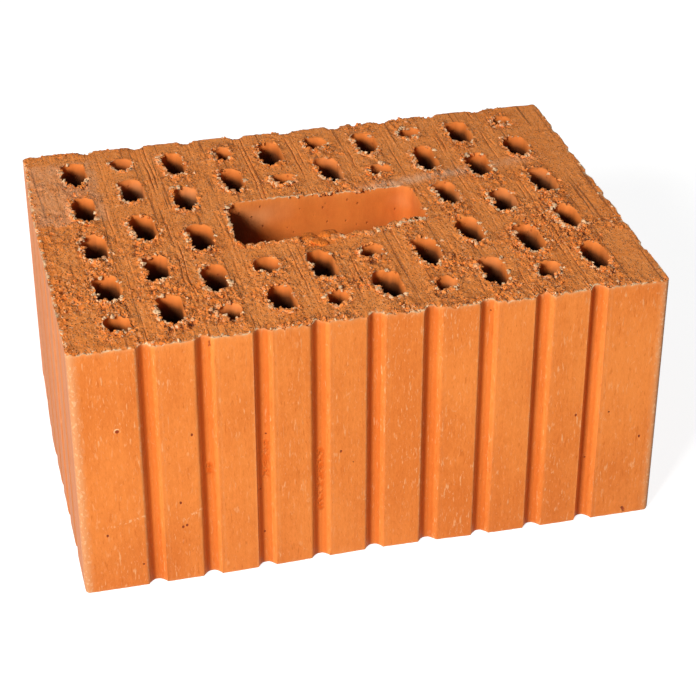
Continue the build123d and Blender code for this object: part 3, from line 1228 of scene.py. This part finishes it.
# Crumbs on the cut: draws for each one wanted, least distance from a rim in mm, the chance far from any
# rim, how far the higher chance near one reaches, and the rest as at the rims.
DRAWS_EACH = 9
CUT_MARGIN = 0.9
FAR_CHANCE = 0.3
NEAR_REACH = 2.5
CUT_LEAST = 0.3
CUT_LARGER = (0.6, 2.2)
CUT_PALE = (0.6, 1.5)
CUT_FRESH = (0.35, 2.5)


def cut_spots(plan, finish, rng):
    """Where crumbs sit on the cut face, most of them on its crumbly front and near the holes."""
    holes = hole_table(plan)
    wanted = finish["crumbs_on_cut"]
    x = rng.uniform(-LENGTH / 2, LENGTH / 2, wanted * DRAWS_EACH)
    y = rng.uniform(-WIDTH / 2, WIDTH / 2, wanted * DRAWS_EACH)
    _, _, crumbly = cut_relief(x, y, plan, finish, finish["seed"])
    clay = clearance(x, y, plan, holes)
    chance = crumbly**2 * (FAR_CHANCE + dying(np.maximum(clay, 0), NEAR_REACH))
    fits = (clay > CUT_MARGIN) & (rng.uniform(0, 1, x.size) < chance)
    x = x[fits][:wanted]
    y = y[fits][:wanted]
    radius = CUT_LEAST + skewed(rng, x.size, *CUT_LARGER)
    return x, y, radius, skewed(rng, x.size, *CUT_PALE), skewed(rng, x.size, *CUT_FRESH)


# Lumps on the front rims: their step along the hand hole in mm, how far each is moved along and back, and
# its radius; and for a small hole, how many, how far from its middle as a share of its half width, how far
# to the front, how much farther back in the corners, and the radius.
GRIP_STEP = 2.6
GRIP_MOVE = 0.8
GRIP_BACK = (-0.4, 1.1)
GRIP_RADIUS = (1.2, 2.3)
LUMPS_EACH = 3
HOLE_SHARE = 0.8
HOLE_FRONT = (-0.2, 0.7)
CORNER_BACK = 1.4
HOLE_RADII = (0.7, 1.35)
LUMP_PALE = 0.42


def lump_spots(plan, _, rng):
    """Where rounded lumps hang on the front rims: the bright ones, a row along the hand hole, and a few
    on each small hole."""
    wide = np.arange(-plan["grip_length"] / 2 + 2, plan["grip_length"] / 2, GRIP_STEP)
    grip_x = wide + rng.uniform(-GRIP_MOVE, GRIP_MOVE, wide.size)
    grip_y = -plan["grip_width"] / 2 + rng.uniform(*GRIP_BACK, wide.size)
    holes = np.repeat(hole_table(plan)[:-1], LUMPS_EACH, axis=0)
    share = rng.uniform(-HOLE_SHARE, HOLE_SHARE, len(holes))
    hole_x = holes[:, 0] + share * holes[:, 2]
    hole_y = holes[:, 1] - holes[:, 3] - rng.uniform(*HOLE_FRONT, len(holes))
    hole_y = hole_y + CORNER_BACK * np.abs(share) ** 3
    lump_x, lump_y, lump_radius = np.array(LUMPS).T
    x = np.concatenate([grip_x, hole_x, lump_x])
    y = np.concatenate([grip_y, hole_y, lump_y])
    grip_radius = rng.uniform(*GRIP_RADIUS, wide.size)
    radius = np.concatenate([grip_radius, rng.uniform(*HOLE_RADII, len(holes)), lump_radius])
    bright = np.concatenate([np.zeros(wide.size + len(holes)), np.ones(len(LUMPS))])
    return x, y, radius, LUMP_PALE * rng.uniform(0, 1, x.size) * (1 - bright), bright


# Bands and spokes of a rounded lump and of a crumb, and how rough each is.
LUMP_MESH = (12, 18)
CRUMB_MESH = (4, 6)
LUMP_ROUGH = 0.42
CRUMB_ROUGH = 0.38
# Distance between the lumps in the noise that shapes them, and its grain, in radii.
LUMPS_APART = 9.3
LUMP_GRAIN = 0.75
# How flat, wide and long a crumb is, how flat a lump is beside that, and all three for a bright lump.
FLATNESS = (0.5, 0.9)
CRUMB_WIDE = (0.7, 1.3)
CRUMB_LONG = (0.8, 1.5)
LUMP_FLAT = 0.8
BRIGHT_SHAPE = (1.0, 1.3, 0.36)
# Turn of a crumb at most, in radians, and how far it is sunk, in radii.
MOST_TURN = 0.8
SUNK = (-0.1, 0.55)
# Least gap over a lump and over a crumb in mm, and the height of a lump's top in radii.
LUMP_GAP = 0.05
CRUMB_GAP = 0.004
LUMP_TOP = 1.25
CRUMB_CRUMBLY = 0.35


def crumb_arrays(plan, finish, spots, rng, rounded):
    """Crumbs fired onto the cut at these spots.

    Each is a ball given by two angles, squashed and turned. A rounded one has more places, moved by a
    smooth noise; any other is roughened by a random number for each of its places."""
    x, y, radius, pale, fresh = spots
    real_x, real_y, height, _ = top_surface(x, y, plan, finish, hole_table(plan), finish["seed"])
    count = x.size
    bands, spokes = LUMP_MESH if rounded else CRUMB_MESH
    polar = np.linspace(0, math.pi, bands + 1)[1:-1]
    turn = np.linspace(0, 2 * math.pi, spokes, endpoint=False)
    ring = np.stack(
        [
            np.outer(np.sin(polar), np.cos(turn)).ravel(),
            np.outer(np.sin(polar), np.sin(turn)).ravel(),
            np.repeat(np.cos(polar), spokes),
        ],
        axis=1,
    )
    ball = np.concatenate([[[0, 0, 1]], ring, [[0, 0, -1]]])
    if rounded:
        apart = LUMPS_APART * np.arange(count)[:, None]
        bumps = grain(ball[:, 0] + apart, ball[:, 1], ball[:, 2], (LUMP_GRAIN,) * 3, finish["seed"])
        rough = 1 + LUMP_ROUGH * bumps[..., None]
    else:
        rough = 1 + CRUMB_ROUGH * rng.uniform(-1, 1, (count, len(ball), 1))
    bright = fresh == 1
    flat = rng.uniform(*FLATNESS, count)
    flat = np.where(bright, BRIGHT_SHAPE[2], LUMP_FLAT * flat) if rounded else flat
    wide = np.where(bright, BRIGHT_SHAPE[0], rng.uniform(*CRUMB_WIDE, count))
    long = np.where(bright, BRIGHT_SHAPE[1], rng.uniform(*CRUMB_LONG, count))
    stretch = np.stack([wide, long, flat], axis=1)
    angle = rng.uniform(-MOST_TURN, MOST_TURN, count)
    local = ball[None] * rough * stretch[:, None] * radius[:, None, None]
    turned_x = local[..., 0] * np.cos(angle)[:, None] - local[..., 1] * np.sin(angle)[:, None]
    turned_y = local[..., 0] * np.sin(angle)[:, None] + local[..., 1] * np.cos(angle)[:, None]
    sink = rng.uniform(*SUNK, count) * radius
    if rounded:
        height = np.minimum(height, HEIGHT - LUMP_GAP - LUMP_TOP * flat * radius + sink)
    raised = local[..., 2] + (height - sink)[:, None]
    places = np.stack([turned_x + real_x[:, None], turned_y + real_y[:, None], raised], axis=2)
    places = in_box(places, CRUMB_GAP)
    first = np.arange(spokes)
    after = (first + 1) % spokes
    rows = np.arange(bands - 2)[:, None] * spokes + 1
    belts = [rows + first, rows + first + spokes, rows + after + spokes, rows + after]
    belts = np.stack(belts, axis=2).reshape(-1, 4)
    crown = np.stack([np.zeros(spokes, int), 1 + first, 1 + after], axis=1)
    last = 1 + (bands - 2) * spokes
    foot = np.stack([np.full(spokes, len(ball) - 1), last + after, last + first], axis=1)
    offset = (np.arange(count) * len(ball))[:, None, None]
    quad_faces = (belts[None] + offset).reshape(-1, 4)
    tri_faces = (np.concatenate([crown, foot])[None] + offset).reshape(-1, 3)
    each = len(ball)
    # Paleness of a crumb: pale clay, partly a painted highlight.
    shades = {"torn": np.repeat(pale, each), "fresh": np.repeat(fresh, each)}
    fields = finish_marks(count * each, crumbly=CRUMB_CRUMBLY, **shades)
    skins = [np.zeros(len(quad_faces)), np.zeros(len(tri_faces))]
    return places.reshape(-1, 3), [quad_faces, tri_faces], skins, fields


class Wire:
    """A value on a node's socket; arithmetic on it adds the Math nodes."""

    def __init__(self, graph, socket):
        self.graph = graph
        self.socket = socket

    def joined(self, operation, first, second):
        return self.graph.add("ShaderNodeMath", {"operation": operation}, {0: first, 1: second})

    def __add__(self, other):
        return self.joined("ADD", self, other)

    def __sub__(self, other):
        return self.joined("SUBTRACT", self, other)

    def __rsub__(self, other):
        return self.joined("SUBTRACT", other, self)

    def __mul__(self, other):
        return self.joined("MULTIPLY", self, other)

    __radd__ = __add__
    __rmul__ = __mul__


class ClayGraph:
    """The node tree of a material or of the world, with short ways to add to it.

    `colour` is the colour so far, which each coat covers in part."""

    def __init__(self, owner):
        self.owner = owner
        owner.use_nodes = True
        self.tree = owner.node_tree
        self.tree.nodes.clear()
        self.place = self.add("ShaderNodeTexCoord", {}, {}, "Object")
        self.colour = None

    def feed(self, socket, value):
        """Puts a wire or a plain value on a socket."""
        if isinstance(value, Wire):
            self.tree.links.new(value.socket, socket)
        else:
            socket.default_value = value

    def add(self, kind, settings, values, output=0):
        """A node of this type with its settings, and values or wires on its inputs. Gives one output."""
        node = self.tree.nodes.new(kind)
        for name, setting in settings.items():
            setattr(node, name, setting)
        for name, value in values.items():
            self.feed(node.inputs[name], value)
        return Wire(self, node.outputs[output]) if node.outputs else None

    def mark(self, name):
        """A finish mark that the mesh carries."""
        return self.add("ShaderNodeAttribute", {"attribute_name": name}, {}, "Fac")

    def vector(self, operation, first, second, output=0):
        """A Vector Math node on two vectors."""
        return self.add("ShaderNodeVectorMath", {"operation": operation}, {0: first, 1: second}, output)

    def size(self, value):
        """The value without its sign."""
        return self.add("ShaderNodeMath", {"operation": "ABSOLUTE"}, {0: value})

    def cells_of(self, per_metre, shift):
        """The place with so many cells a metre along each axis, shifted alike along all three."""
        return self.vector("ADD", self.vector("MULTIPLY", self.place, per_metre), (shift,) * 3)

    def noise(self, per_metre, detail=3.0, rough=0.55, shift=0.0):
        """Noise from 0 to 1, with so many cells a metre along each axis."""
        values = {"Vector": self.cells_of(per_metre, shift), "Scale": 1.0}
        values.update({"Detail": detail, "Roughness": rough})
        return self.add("ShaderNodeTexNoise", {}, values)

    def scatter(self, per_metre, shift, output="Distance"):
        """Scattered points, so many a metre along each axis: the nearest one's distance or colour."""
        values = {"Vector": self.cells_of(per_metre, shift), "Scale": 1.0}
        return self.add("ShaderNodeTexVoronoi", {}, values, output)

    def specks(self, per_metre, shift, edge, core):
        """Specks on scattered points: 0 from the distance `edge` outwards, 1 within `core`."""
        return self.rise(self.scatter(per_metre, shift), edge, core)

    def plates(self, per_metre, shift):
        """A random level from 0 to 1 for each of many small plates, so many a metre along each axis."""
        colour = self.scatter(per_metre, shift, "Color")
        return self.add("ShaderNodeSeparateColor", {}, {"Color": colour}, "Red")

    def rise(self, value, low, high):
        """A smooth step of the value from 0 at low to 1 at high."""
        settings = {"interpolation_type": "SMOOTHSTEP"}
        values = {"Value": value, "From Min": low, "From Max": high}
        return self.add("ShaderNodeMapRange", settings, values)

    def coat(self, share, colour, over=None):
        """Covers a share of the colour so far, or of the one in `over`, with this colour."""
        node = self.tree.nodes.new("ShaderNodeMix")
        node.data_type = "RGBA"
        node.clamp_factor = True
        self.feed(node.inputs[0], share)
        self.feed(node.inputs[6], self.colour if over is None else (*over, 1.0))
        self.feed(node.inputs[7], (*colour, 1.0))
        self.colour = Wire(self, node.outputs[2])

    def away(self, centre, sizes=(1, 1, 1)):
        """Distance to a point given in mm, with the axes measured in these sizes."""
        centred = self.vector("SUBTRACT", self.place, tuple(value * MM for value in centre))
        scaled = self.vector("DIVIDE", centred, tuple(size * MM for size in sizes))
        return self.vector("LENGTH", scaled, (0, 0, 0), "Value")

    def stroke(self, start, end, radius):
        """1 along a straight stroke from start to end, given in mm, falling to 0 at a radius round it."""
        along = tuple((last - first) * MM for first, last in zip(start, end))
        square = sum(value * value for value in along)
        from_start = self.vector("SUBTRACT", self.place, tuple(value * MM for value in start))
        share = self.vector("DOT_PRODUCT", from_start, along, "Value") * (1 / square)
        share = self.add("ShaderNodeClamp", {}, {"Value": share})
        foot = self.add("ShaderNodeVectorMath", {"operation": "SCALE"}, {0: along, "Scale": share})
        gap = self.vector("DISTANCE", from_start, foot, "Value")
        return self.rise(gap, radius * MM, STROKE_CORE * radius * MM)

    def seen(self):
        """1 for the rays that show a surface to the camera: direct, mirrored and let through."""
        rays = ("Is Camera Ray", "Is Glossy Ray", "Is Transmission Ray")
        camera, glossy, through = [self.add("ShaderNodeLightPath", {}, {}, ray) for ray in rays]
        return camera + glossy + through

    def show(self, shader, kind="ShaderNodeOutputMaterial"):
        """Links the shader to the output."""
        self.add(kind, {}, {"Surface": shader})
        return self.owner

    def finish(self, roughness, height, depth):
        """The clay's shader: matt, in the colour so far, with its relief as a bump of this depth in mm."""
        bump = self.add("ShaderNodeBump", {}, {"Height": height, "Strength": 1.0, "Distance": depth * MM})
        values = {"Base Color": self.colour, "Roughness": roughness, "Normal": bump}
        values["Specular IOR Level"] = CLAY_SHEEN
        return self.show(self.add("ShaderNodeBsdfPrincipled", {}, values))


# Noises of the cut, the die skin and the holes, each with its cells a metre along the three axes, its
# detail, its roughness and its shift.
CUT_NOISES = (
    ((45, 30, 45), 3.0),
    ((300, 190, 300), 4.0, 0.6, 3.1),
    ((620, 40, 200), 2.0, 0.5, 7.7),
    ((640, 14, 100), 2.0, 0.5, 11.3),
    ((620, 430, 620), 4.0, 0.62, 5.3),
)
SKIN_NOISES = (
    ((30, 30, 16), 3.0, 0.5),
    ((520, 520, 14), 3.0, 0.5, 2.3),
    ((420, 420, 260), 4.0, 0.6, 8.1),
    ((900, 900, 170), 2.0, 0.6, 9.2),
    ((1300, 1300, 420), 2.0, 0.6, 1.2),
    ((210, 210, 60), 2.0, 0.5, 4.4),
    ((330, 330, 240), 2.0, 0.5, 7.9),
    ((1100, 1100, 700), 2.0, 0.5, 5.9),
)
END_NOISE = ((10, 160, 5), 2.0, 0.5, 4.4)
HOLE_NOISES = (
    ((60, 60, 25), 3.0, 0.5, 1.9),
    ((300, 300, 14), 2.0, 0.5, 6.1),
    ((260, 260, 200), 4.0, 0.6, 3.7),
)
BLOOM_NOISE = ((26, 26, 40), 2.0, 0.5, 12.4)


def cut_clay(colours):
    """Wire-cut clay: tan plateaus, orange tears, painted shade in pits, lines and specks, cream torn edges
    with painted highlights, grey dust.
    """
    graph = ClayGraph(bpy.data.materials.new("cut_clay"))
    names = ("cavity", "torn", "dust", "fresh", "crumbly")
    cavity, torn, dust, fresh, crumbly = [graph.mark(name) for name in names]
    broad, patch, streak, hair, crumb = [graph.noise(*given) for given in CUT_NOISES]
    coarse = graph.plates((640, 430, 640), 1.7)
    small = graph.plates((1300, 900, 1300), 4.2)
    warm = graph.rise(0.5 * patch + 0.35 * broad + 0.2 * streak + 0.1 * crumbly, 0.42, 0.78)
    graph.coat(warm, colours.cut_orange, over=colours.cut_tan)
    graph.coat(graph.rise(small, 0.9, 0.98) * (0.1 + 0.25 * crumbly), colours.crumb_cream)
    # Painted shade between the crumbly grains, and in the fine drag lines.
    deep = graph.rise(0.35 * crumb + 0.3 * coarse + 0.35 * small, 0.44, 0.27) * (0.05 + 0.85 * crumbly)
    lines = graph.rise(hair, 0.35, 0.325) * (0.6 - 0.35 * crumbly)
    graph.coat(deep, colours.pit_brown)
    graph.coat(lines, colours.pit_brown)
    # Painted shadow specks; the pale specks beside them are partly painted highlights on the grain.
    dark = graph.specks((1050, 620, 1050), 2.9, 0.32, 0.12) * (0.46 + 0.46 * crumbly)
    light = graph.specks((1150, 760, 1150), 6.3, 0.31, 0.1) * (0.5 + 0.42 * crumbly)
    graph.coat(dark, colours.pit_brown)
    graph.coat(light, colours.crumb_cream)
    # Painted shade in the pits and drag lines, from the cavity mark.
    graph.coat(graph.rise(cavity, 0.3, 0.9) * 0.75, colours.pit_brown)
    graph.coat(fresh * 0.88, colours.fresh_orange)
    graph.coat(dust * 0.75, colours.dust_grey)
    # Pale torn edges: pale clay, partly painted highlights.
    pale = graph.rise(torn * (0.6 + 0.8 * crumb), 0.3, 0.75)
    graph.coat(pale, colours.crumb_cream)
    roughness = 0.82 + 0.14 * patch
    ribs = streak * 0.14 + 0.25 * patch - 0.8 * lines
    rubble = (0.5 * coarse + 0.4 * small + 0.6 * crumb) * (0.26 + 0.74 * crumbly)
    return graph.finish(roughness, ribs + rubble + 0.3 * light - 0.5 * dark, 1.7)


# Marks on the long face, in mm: pinholes, the ring chip, and strokes of scratches, stains and chips.
PINHOLES = (
    (-109.4, -85.0, 27.5),
    (-79.7, -85.0, 38.5),
    (-79.2, -85.0, 26.6),
    (-77.6, -85.0, 27.2),
    (-74.0, -85.0, 70.1),
    (-14.2, -84.0, 51.7),
    (84.1, -85.0, 54.2),
    (112.7, -85.0, 39.2),
    (90.6, -85.0, 85.0),
)
PINHOLE_SIZE = (0.55, 0.8, 0.75)
RING_CHIP = (-102.9, -85.0, 76.2)
SCRATCHES = (
    ((-107.2, -85.0, 31.6), (-93.5, -85.0, 34.5)),
    ((-79.7, -85.0, 29.6), (-71.4, -85.0, 34.1)),
    ((-102.0, -85.0, 79.5), (-101.4, -85.0, 83.5)),
    ((-4.4, -84.0, 26.0), (-3.2, -84.0, 26.6)),
    ((94.8, -85.0, 51.6), (96.4, -85.0, 50.2)),
)
STAINS = (
    ((-44.6, -82.5, 60.0), (-44.8, -82.5, 44.0)),
    ((-22.2, -81.5, 52.0), (-22.4, -81.5, 24.0)),
    ((-67.4, -82.5, 53.0), (-67.4, -82.5, 50.0)),
)
CHIPS = (
    ((-95.2, -84.5, 113.6), (-93.8, -83.5, 109.8)),
    ((-93.4, -83.0, 107.0), (-93.0, -83.0, 103.5)),
    ((-66.0, -83.5, 111.0), (-65.4, -83.0, 108.5)),
    ((108.0, -85.0, 3.4), (109.0, -85.0, 1.6)),
)


# Radii of the strokes, in mm, and the distance from the middle in metres where the ends' pinkish bloom and
# painted sheen set in.
STAIN_RADIUS = 2.1
SCRATCH_RADIUS = 1.0
CHIP_RADIUS = 0.9
END_BLOOM_AND_SHEEN_X = (0.1163, 0.1195)


def die_skin(colours):
    """Die-pressed skin of the sides: orange with upright streaks, cream dashes, pinholes and scratches."""
    graph = ClayGraph(bpy.data.materials.new("die_skin"))
    torn, arris, groove = [graph.mark(name) for name in ("torn", "arris", "fresh")]
    noises = [graph.noise(*given) for given in SKIN_NOISES]
    broad, streak, mottled, dash, fine, curl, cuts, sand = noises
    tone = graph.rise(0.6 * broad + 0.15 * streak + 0.25 * mottled + 0.15 * sand, 0.42, 0.74)
    graph.coat(tone * 0.48, colours.skin_deep, over=colours.skin_orange)
    here = graph.rise(broad, 0.4, 0.62)
    pale = graph.rise(dash, 0.61, 0.73) * 0.64 + graph.rise(fine, 0.62, 0.73) * 0.44
    bent = graph.rise(graph.size(curl - 0.5), 0.016, 0.004)
    pale = pale * (0.35 + 0.65 * here) + bent * graph.rise(cuts, 0.56, 0.64) * 0.28
    graph.coat(pale, colours.skin_cream)
    graph.coat(graph.rise(dash, 0.38, 0.28) * 0.4, colours.skin_deep)
    graph.coat(graph.rise(fine, 0.36, 0.26) * 0.4, colours.skin_deep)
    across = graph.add("ShaderNodeSeparateXYZ", {}, {"Vector": graph.place}, "X")
    # Pinkish bloom and painted sheen on both ends.
    end = graph.rise(graph.size(across), *END_BLOOM_AND_SHEEN_X)
    bands = graph.rise(graph.noise(*END_NOISE), 0.35, 0.65)
    graph.coat(end * (0.45 + 0.35 * bands), colours.end_grey)
    # Painted shade inside the grooves, fullest on the left flank.
    graph.coat(groove * 0.82, colours.skin_deep)
    graph.coat(arris * 0.5 * mottled, colours.skin_cream)
    graph.coat(arris * graph.rise(sand, 0.54, 0.66) * 0.45, colours.crumb_cream)
    rough = graph.rise(0.6 * mottled + 0.4 * sand, 0.4, 0.54)
    stain = 0.0
    for start, finish in STAINS:
        stain = graph.stroke(start, finish, STAIN_RADIUS) * rough + stain
    graph.coat(stain, colours.stain_orange)
    for start, finish in SCRATCHES:
        scratch = graph.stroke(start, finish, SCRATCH_RADIUS) * graph.rise(sand, 0.52, 0.62)
        graph.coat(scratch * 0.7, colours.skin_cream)
    hole = graph.specks((70, 70, 70), 6.6, 0.036, 0.022)
    for place in PINHOLES:
        hole = hole + graph.rise(graph.away(place, PINHOLE_SIZE), 1.0, 0.6)
    for start, finish in CHIPS:
        hole = hole + graph.stroke(start, finish, CHIP_RADIUS) * rough
    ring = graph.away(RING_CHIP)
    rim = graph.rise(ring, 1.5, 1.2) * graph.rise(ring, 0.7, 1.0) * graph.rise(mottled, 0.4, 0.6)
    graph.coat(rim, colours.crumb_cream)
    graph.coat(graph.rise(ring, 0.9, 0.6), colours.chip_red)
    graph.coat(hole, colours.chip_red)
    # Pale upper and lower edges: pale clay, partly painted highlights.
    graph.coat(torn * (0.45 + 0.6 * mottled), colours.skin_cream)
    roughness = 0.5 + 0.2 * mottled
    height = 0.3 * streak + 0.5 * mottled + 0.4 * sand + 0.3 * pale + stain - 1.5 * hole
    return graph.finish(roughness, height, 0.25)


def hole_skin(colours):
    """Skin of the hole walls: smooth, a little redder, with faint upright streaks, and painted shade deep
    down.
    """
    graph = ClayGraph(bpy.data.materials.new("hole_skin"))
    torn, deep, upper = [graph.mark(name) for name in ("torn", "deep", "crumbly")]
    broad, streak, mottled = [graph.noise(*given) for given in HOLE_NOISES]
    tone = graph.rise(0.6 * broad + 0.15 * streak + 0.4 * mottled, 0.42, 0.8)
    graph.coat(tone * 0.5, colours.hole_red, over=colours.hole_orange)
    bloom = graph.rise(graph.noise(*BLOOM_NOISE), 0.5, 0.8)
    graph.coat(bloom * 0.3, colours.skin_cream)
    graph.coat(upper * 0.6, colours.cut_tan)
    # Painted shade from the deep mark: the walls darken with depth, with a painted shadow in the hand
    # hole's left corner.
    graph.coat(deep * 0.96, colours.hole_dark)
    # Pale torn rims: pale clay, partly painted highlights.
    graph.coat(graph.rise(torn, 0.3, 0.9) * 0.8, colours.crumb_cream)
    pits = graph.specks((240, 240, 170), 2.8, 0.13, 0.06) + graph.specks((120, 120, 90), 5.1, 0.075, 0.04)
    graph.coat(pits * 0.38, colours.chip_red)
    roughness = 0.6 + 0.25 * mottled
    height = 0.2 * streak + 0.7 * mottled - 0.8 * pits
    return graph.finish(roughness, height, 0.3)


def stage_floor(look):
    """Pale floor that the camera sees near white, and that keeps the block's shadow."""
    graph = ClayGraph(bpy.data.materials.new("stage_floor"))
    values = {
        "Base Color": (0.45, 0.45, 0.45, 1),
        "Roughness": 0.9,
        "Emission Color": WHITE,
        "Emission Strength": graph.seen() * look.floor_white,
    }
    return graph.show(graph.add("ShaderNodeBsdfPrincipled", {}, values))


def surroundings(look):
    """A world that is pure white to the camera and gives a weak even light."""
    graph = ClayGraph(bpy.data.worlds.new("surroundings"))
    values = {"Value": graph.seen(), "To Min": look.sky, "To Max": 1.0}
    strength = graph.add("ShaderNodeMapRange", {}, values)
    background = graph.add("ShaderNodeBackground", {}, {"Color": WHITE, "Strength": strength})
    return graph.show(background, "ShaderNodeOutputWorld")


# Places in metres and colours of the stage: the middle that the lamps look at, the key lamp, the fill lamp
# with its side, the camera with its sensor's width in mm, and half the side of the floor.
STAGE_MIDDLE = (0, 0, 0.06)
KEY_PLACE = (-1.36, -1.43, 1.16)
KEY_COLOUR = (1.0, 0.99, 0.97)
FILL_PLACE = (1.5, 1.4, 1.5)
FILL_COLOUR = (0.98, 0.99, 1.0)
FILL_SIZE = 1.2
CAMERA_PLACE = (-0.170926, -0.726152, 0.511238)
SENSOR_WIDTH = 36.0
NEAREST_SEEN = 0.01
FLOOR_HALF = 6.0


def lamp(name, power, size, place, colour):
    """A square soft lamp at a place in metres, turned to look at the stage's middle."""
    light = bpy.data.lights.new(name, "AREA")
    light.shape = "SQUARE"
    light.size = size
    light.energy = power
    light.color = colour
    holder = bpy.data.objects.new(name, light)
    forward = np.array(STAGE_MIDDLE, float) - np.array(place, float)
    forward = forward / np.linalg.norm(forward)
    right = np.cross(forward, (0, 0, 1))
    right = right / np.linalg.norm(right)
    holder.matrix_world = facing(place, forward, right)
    bpy.context.scene.collection.objects.link(holder)


def facing(place, forward, right):
    """The placing of a lamp or camera that looks along `forward`, with `right` to its right."""
    up = np.cross(right, forward)
    turned = Matrix([list(row) for row in np.stack([right, up, -np.asarray(forward)], axis=1)]).to_4x4()
    return Matrix.Translation(place) @ turned


class CLAY_OT_fired_block(bpy.types.Operator):
    """Build the fired block: cut faces, grooved sides and hole walls, as one closed mesh"""

    bl_idname = "clay.fired_block"
    bl_label = "Fired block"

    def execute(self, context):
        scene = context.scene
        places, faces, skins, fields = block_arrays(sizes_of(scene.block_plan), sizes_of(scene.cut_finish))
        colours = scene.clay_colours
        materials = [cut_clay(colours), die_skin(colours), hole_skin(colours)]
        carried(made_piece("fired_block", places, faces, skins, fields, materials))
        return {"FINISHED"}


def crumb_piece(scene, name, spots_of, seed_step, rounded=False):
    """One joined mesh of crumbs at the spots that `spots_of` draws."""
    plan = sizes_of(scene.block_plan)
    finish = sizes_of(scene.cut_finish)
    rng = np.random.default_rng(finish["seed"] + seed_step)
    places, faces, skins, fields = crumb_arrays(plan, finish, spots_of(plan, finish, rng), rng, rounded)
    carried(made_piece(name, places, faces, skins, fields, [bpy.data.materials["cut_clay"]]))


class CLAY_OT_rim_crumbs(bpy.types.Operator):
    """Scatter the crumbs that were fired onto the torn rims, as one joined mesh"""

    bl_idname = "clay.rim_crumbs"
    bl_label = "Rim crumbs"

    def execute(self, context):
        crumb_piece(context.scene, "rim_crumbs", rim_spots, 81)
        return {"FINISHED"}


class CLAY_OT_rim_lumps(bpy.types.Operator):
    """Hang the rounded lumps on the front rims of the holes, as one joined mesh"""

    bl_idname = "clay.rim_lumps"
    bl_label = "Rim lumps"

    def execute(self, context):
        crumb_piece(context.scene, "rim_lumps", lump_spots, 91, rounded=True)
        return {"FINISHED"}


class CLAY_OT_cut_crumbs(bpy.types.Operator):
    """Scatter the crumbs that were fired onto the cut face, as one joined mesh"""

    bl_idname = "clay.cut_crumbs"
    bl_label = "Cut crumbs"

    def execute(self, context):
        crumb_piece(context.scene, "cut_crumbs", cut_spots, 86)
        return {"FINISHED"}


class CLAY_OT_stage(bpy.types.Operator):
    """Set up the floor, the lamps, the white surroundings and the camera"""

    bl_idname = "clay.stage"
    bl_label = "Stage"

    def execute(self, context):
        scene = context.scene
        look = scene.stage_look
        corners = FLOOR_HALF / MM * np.array([(-1, -1, 0), (1, -1, 0), (1, 1, 0), (-1, 1, 0)])
        faces = [np.array([[0, 1, 2, 3]])]
        floor = made_piece("stage_floor", corners, faces, [[0]], {}, [stage_floor(look)])
        lamp("key", look.key_power, look.key_size, KEY_PLACE, KEY_COLOUR)
        lamp("fill", look.fill_power, FILL_SIZE, FILL_PLACE, FILL_COLOUR)
        scene.world = surroundings(look)
        camera_data = bpy.data.cameras.new("camera")
        camera_data.sensor_width = SENSOR_WIDTH
        camera_data.lens = look.lens
        camera_data.clip_start = NEAREST_SEEN
        camera = bpy.data.objects.new("camera", camera_data)
        across, down = look.azimuth, look.elevation
        flat = np.array([math.sin(across), math.cos(across), 0.0])
        forward = math.cos(down) * flat - math.sin(down) * np.array([0.0, 0.0, 1.0])
        right = np.array([math.cos(across), -math.sin(across), 0.0])
        up = np.cross(right, forward)
        right = math.cos(look.roll) * right + math.sin(look.roll) * up
        camera.matrix_world = facing(CAMERA_PLACE, forward, right)
        scene.collection.objects.link(camera)
        scene.camera = camera
        scene.view_settings.view_transform = "Standard"
        return {"FINISHED"}


class CLAY_PT_sidebar(bpy.types.Panel):
    """The block's sizes, finish, colours and stage, with a button for each step"""

    bl_idname = "CLAY_PT_sidebar"
    bl_label = "Perforated clay block"
    bl_space_type = "VIEW_3D"
    bl_region_type = "UI"
    bl_category = "Clay Block"

    def draw(self, context):
        layout = self.layout
        for operator, groups in STEPS:
            for group in groups:
                settings = getattr(context.scene, group)
                for name in settings.__annotations__:
                    layout.prop(settings, name)
            layout.operator(operator)


STEPS = (
    ("clay.fired_block", ("block_plan", "cut_finish", "clay_colours")),
    ("clay.rim_crumbs", ()),
    ("clay.rim_lumps", ()),
    ("clay.cut_crumbs", ()),
    ("clay.stage", ("stage_look",)),
)
GROUPS = {
    "block_plan": BlockPlan,
    "cut_finish": CutFinish,
    "clay_colours": ClayColours,
    "stage_look": StageLook,
}
OPERATORS = (CLAY_OT_fired_block, CLAY_OT_rim_crumbs, CLAY_OT_rim_lumps, CLAY_OT_cut_crumbs, CLAY_OT_stage)
CLASSES = (*GROUPS.values(), *OPERATORS, CLAY_PT_sidebar)


def register():
    for item in CLASSES:
        bpy.utils.register_class(item)
    for name, group in GROUPS.items():
        setattr(bpy.types.Scene, name, PointerProperty(type=group))


def unregister():
    for name in GROUPS:
        delattr(bpy.types.Scene, name)
    for item in reversed(CLASSES):
        bpy.utils.unregister_class(item)


def main():
    """Registers the classes and runs the steps in order."""
    register()
    bpy.ops.clay.fired_block()
    bpy.ops.clay.rim_crumbs()
    bpy.ops.clay.rim_lumps()
    bpy.ops.clay.cut_crumbs()
    bpy.ops.clay.stage()


if __name__ == "__main__":
    main()
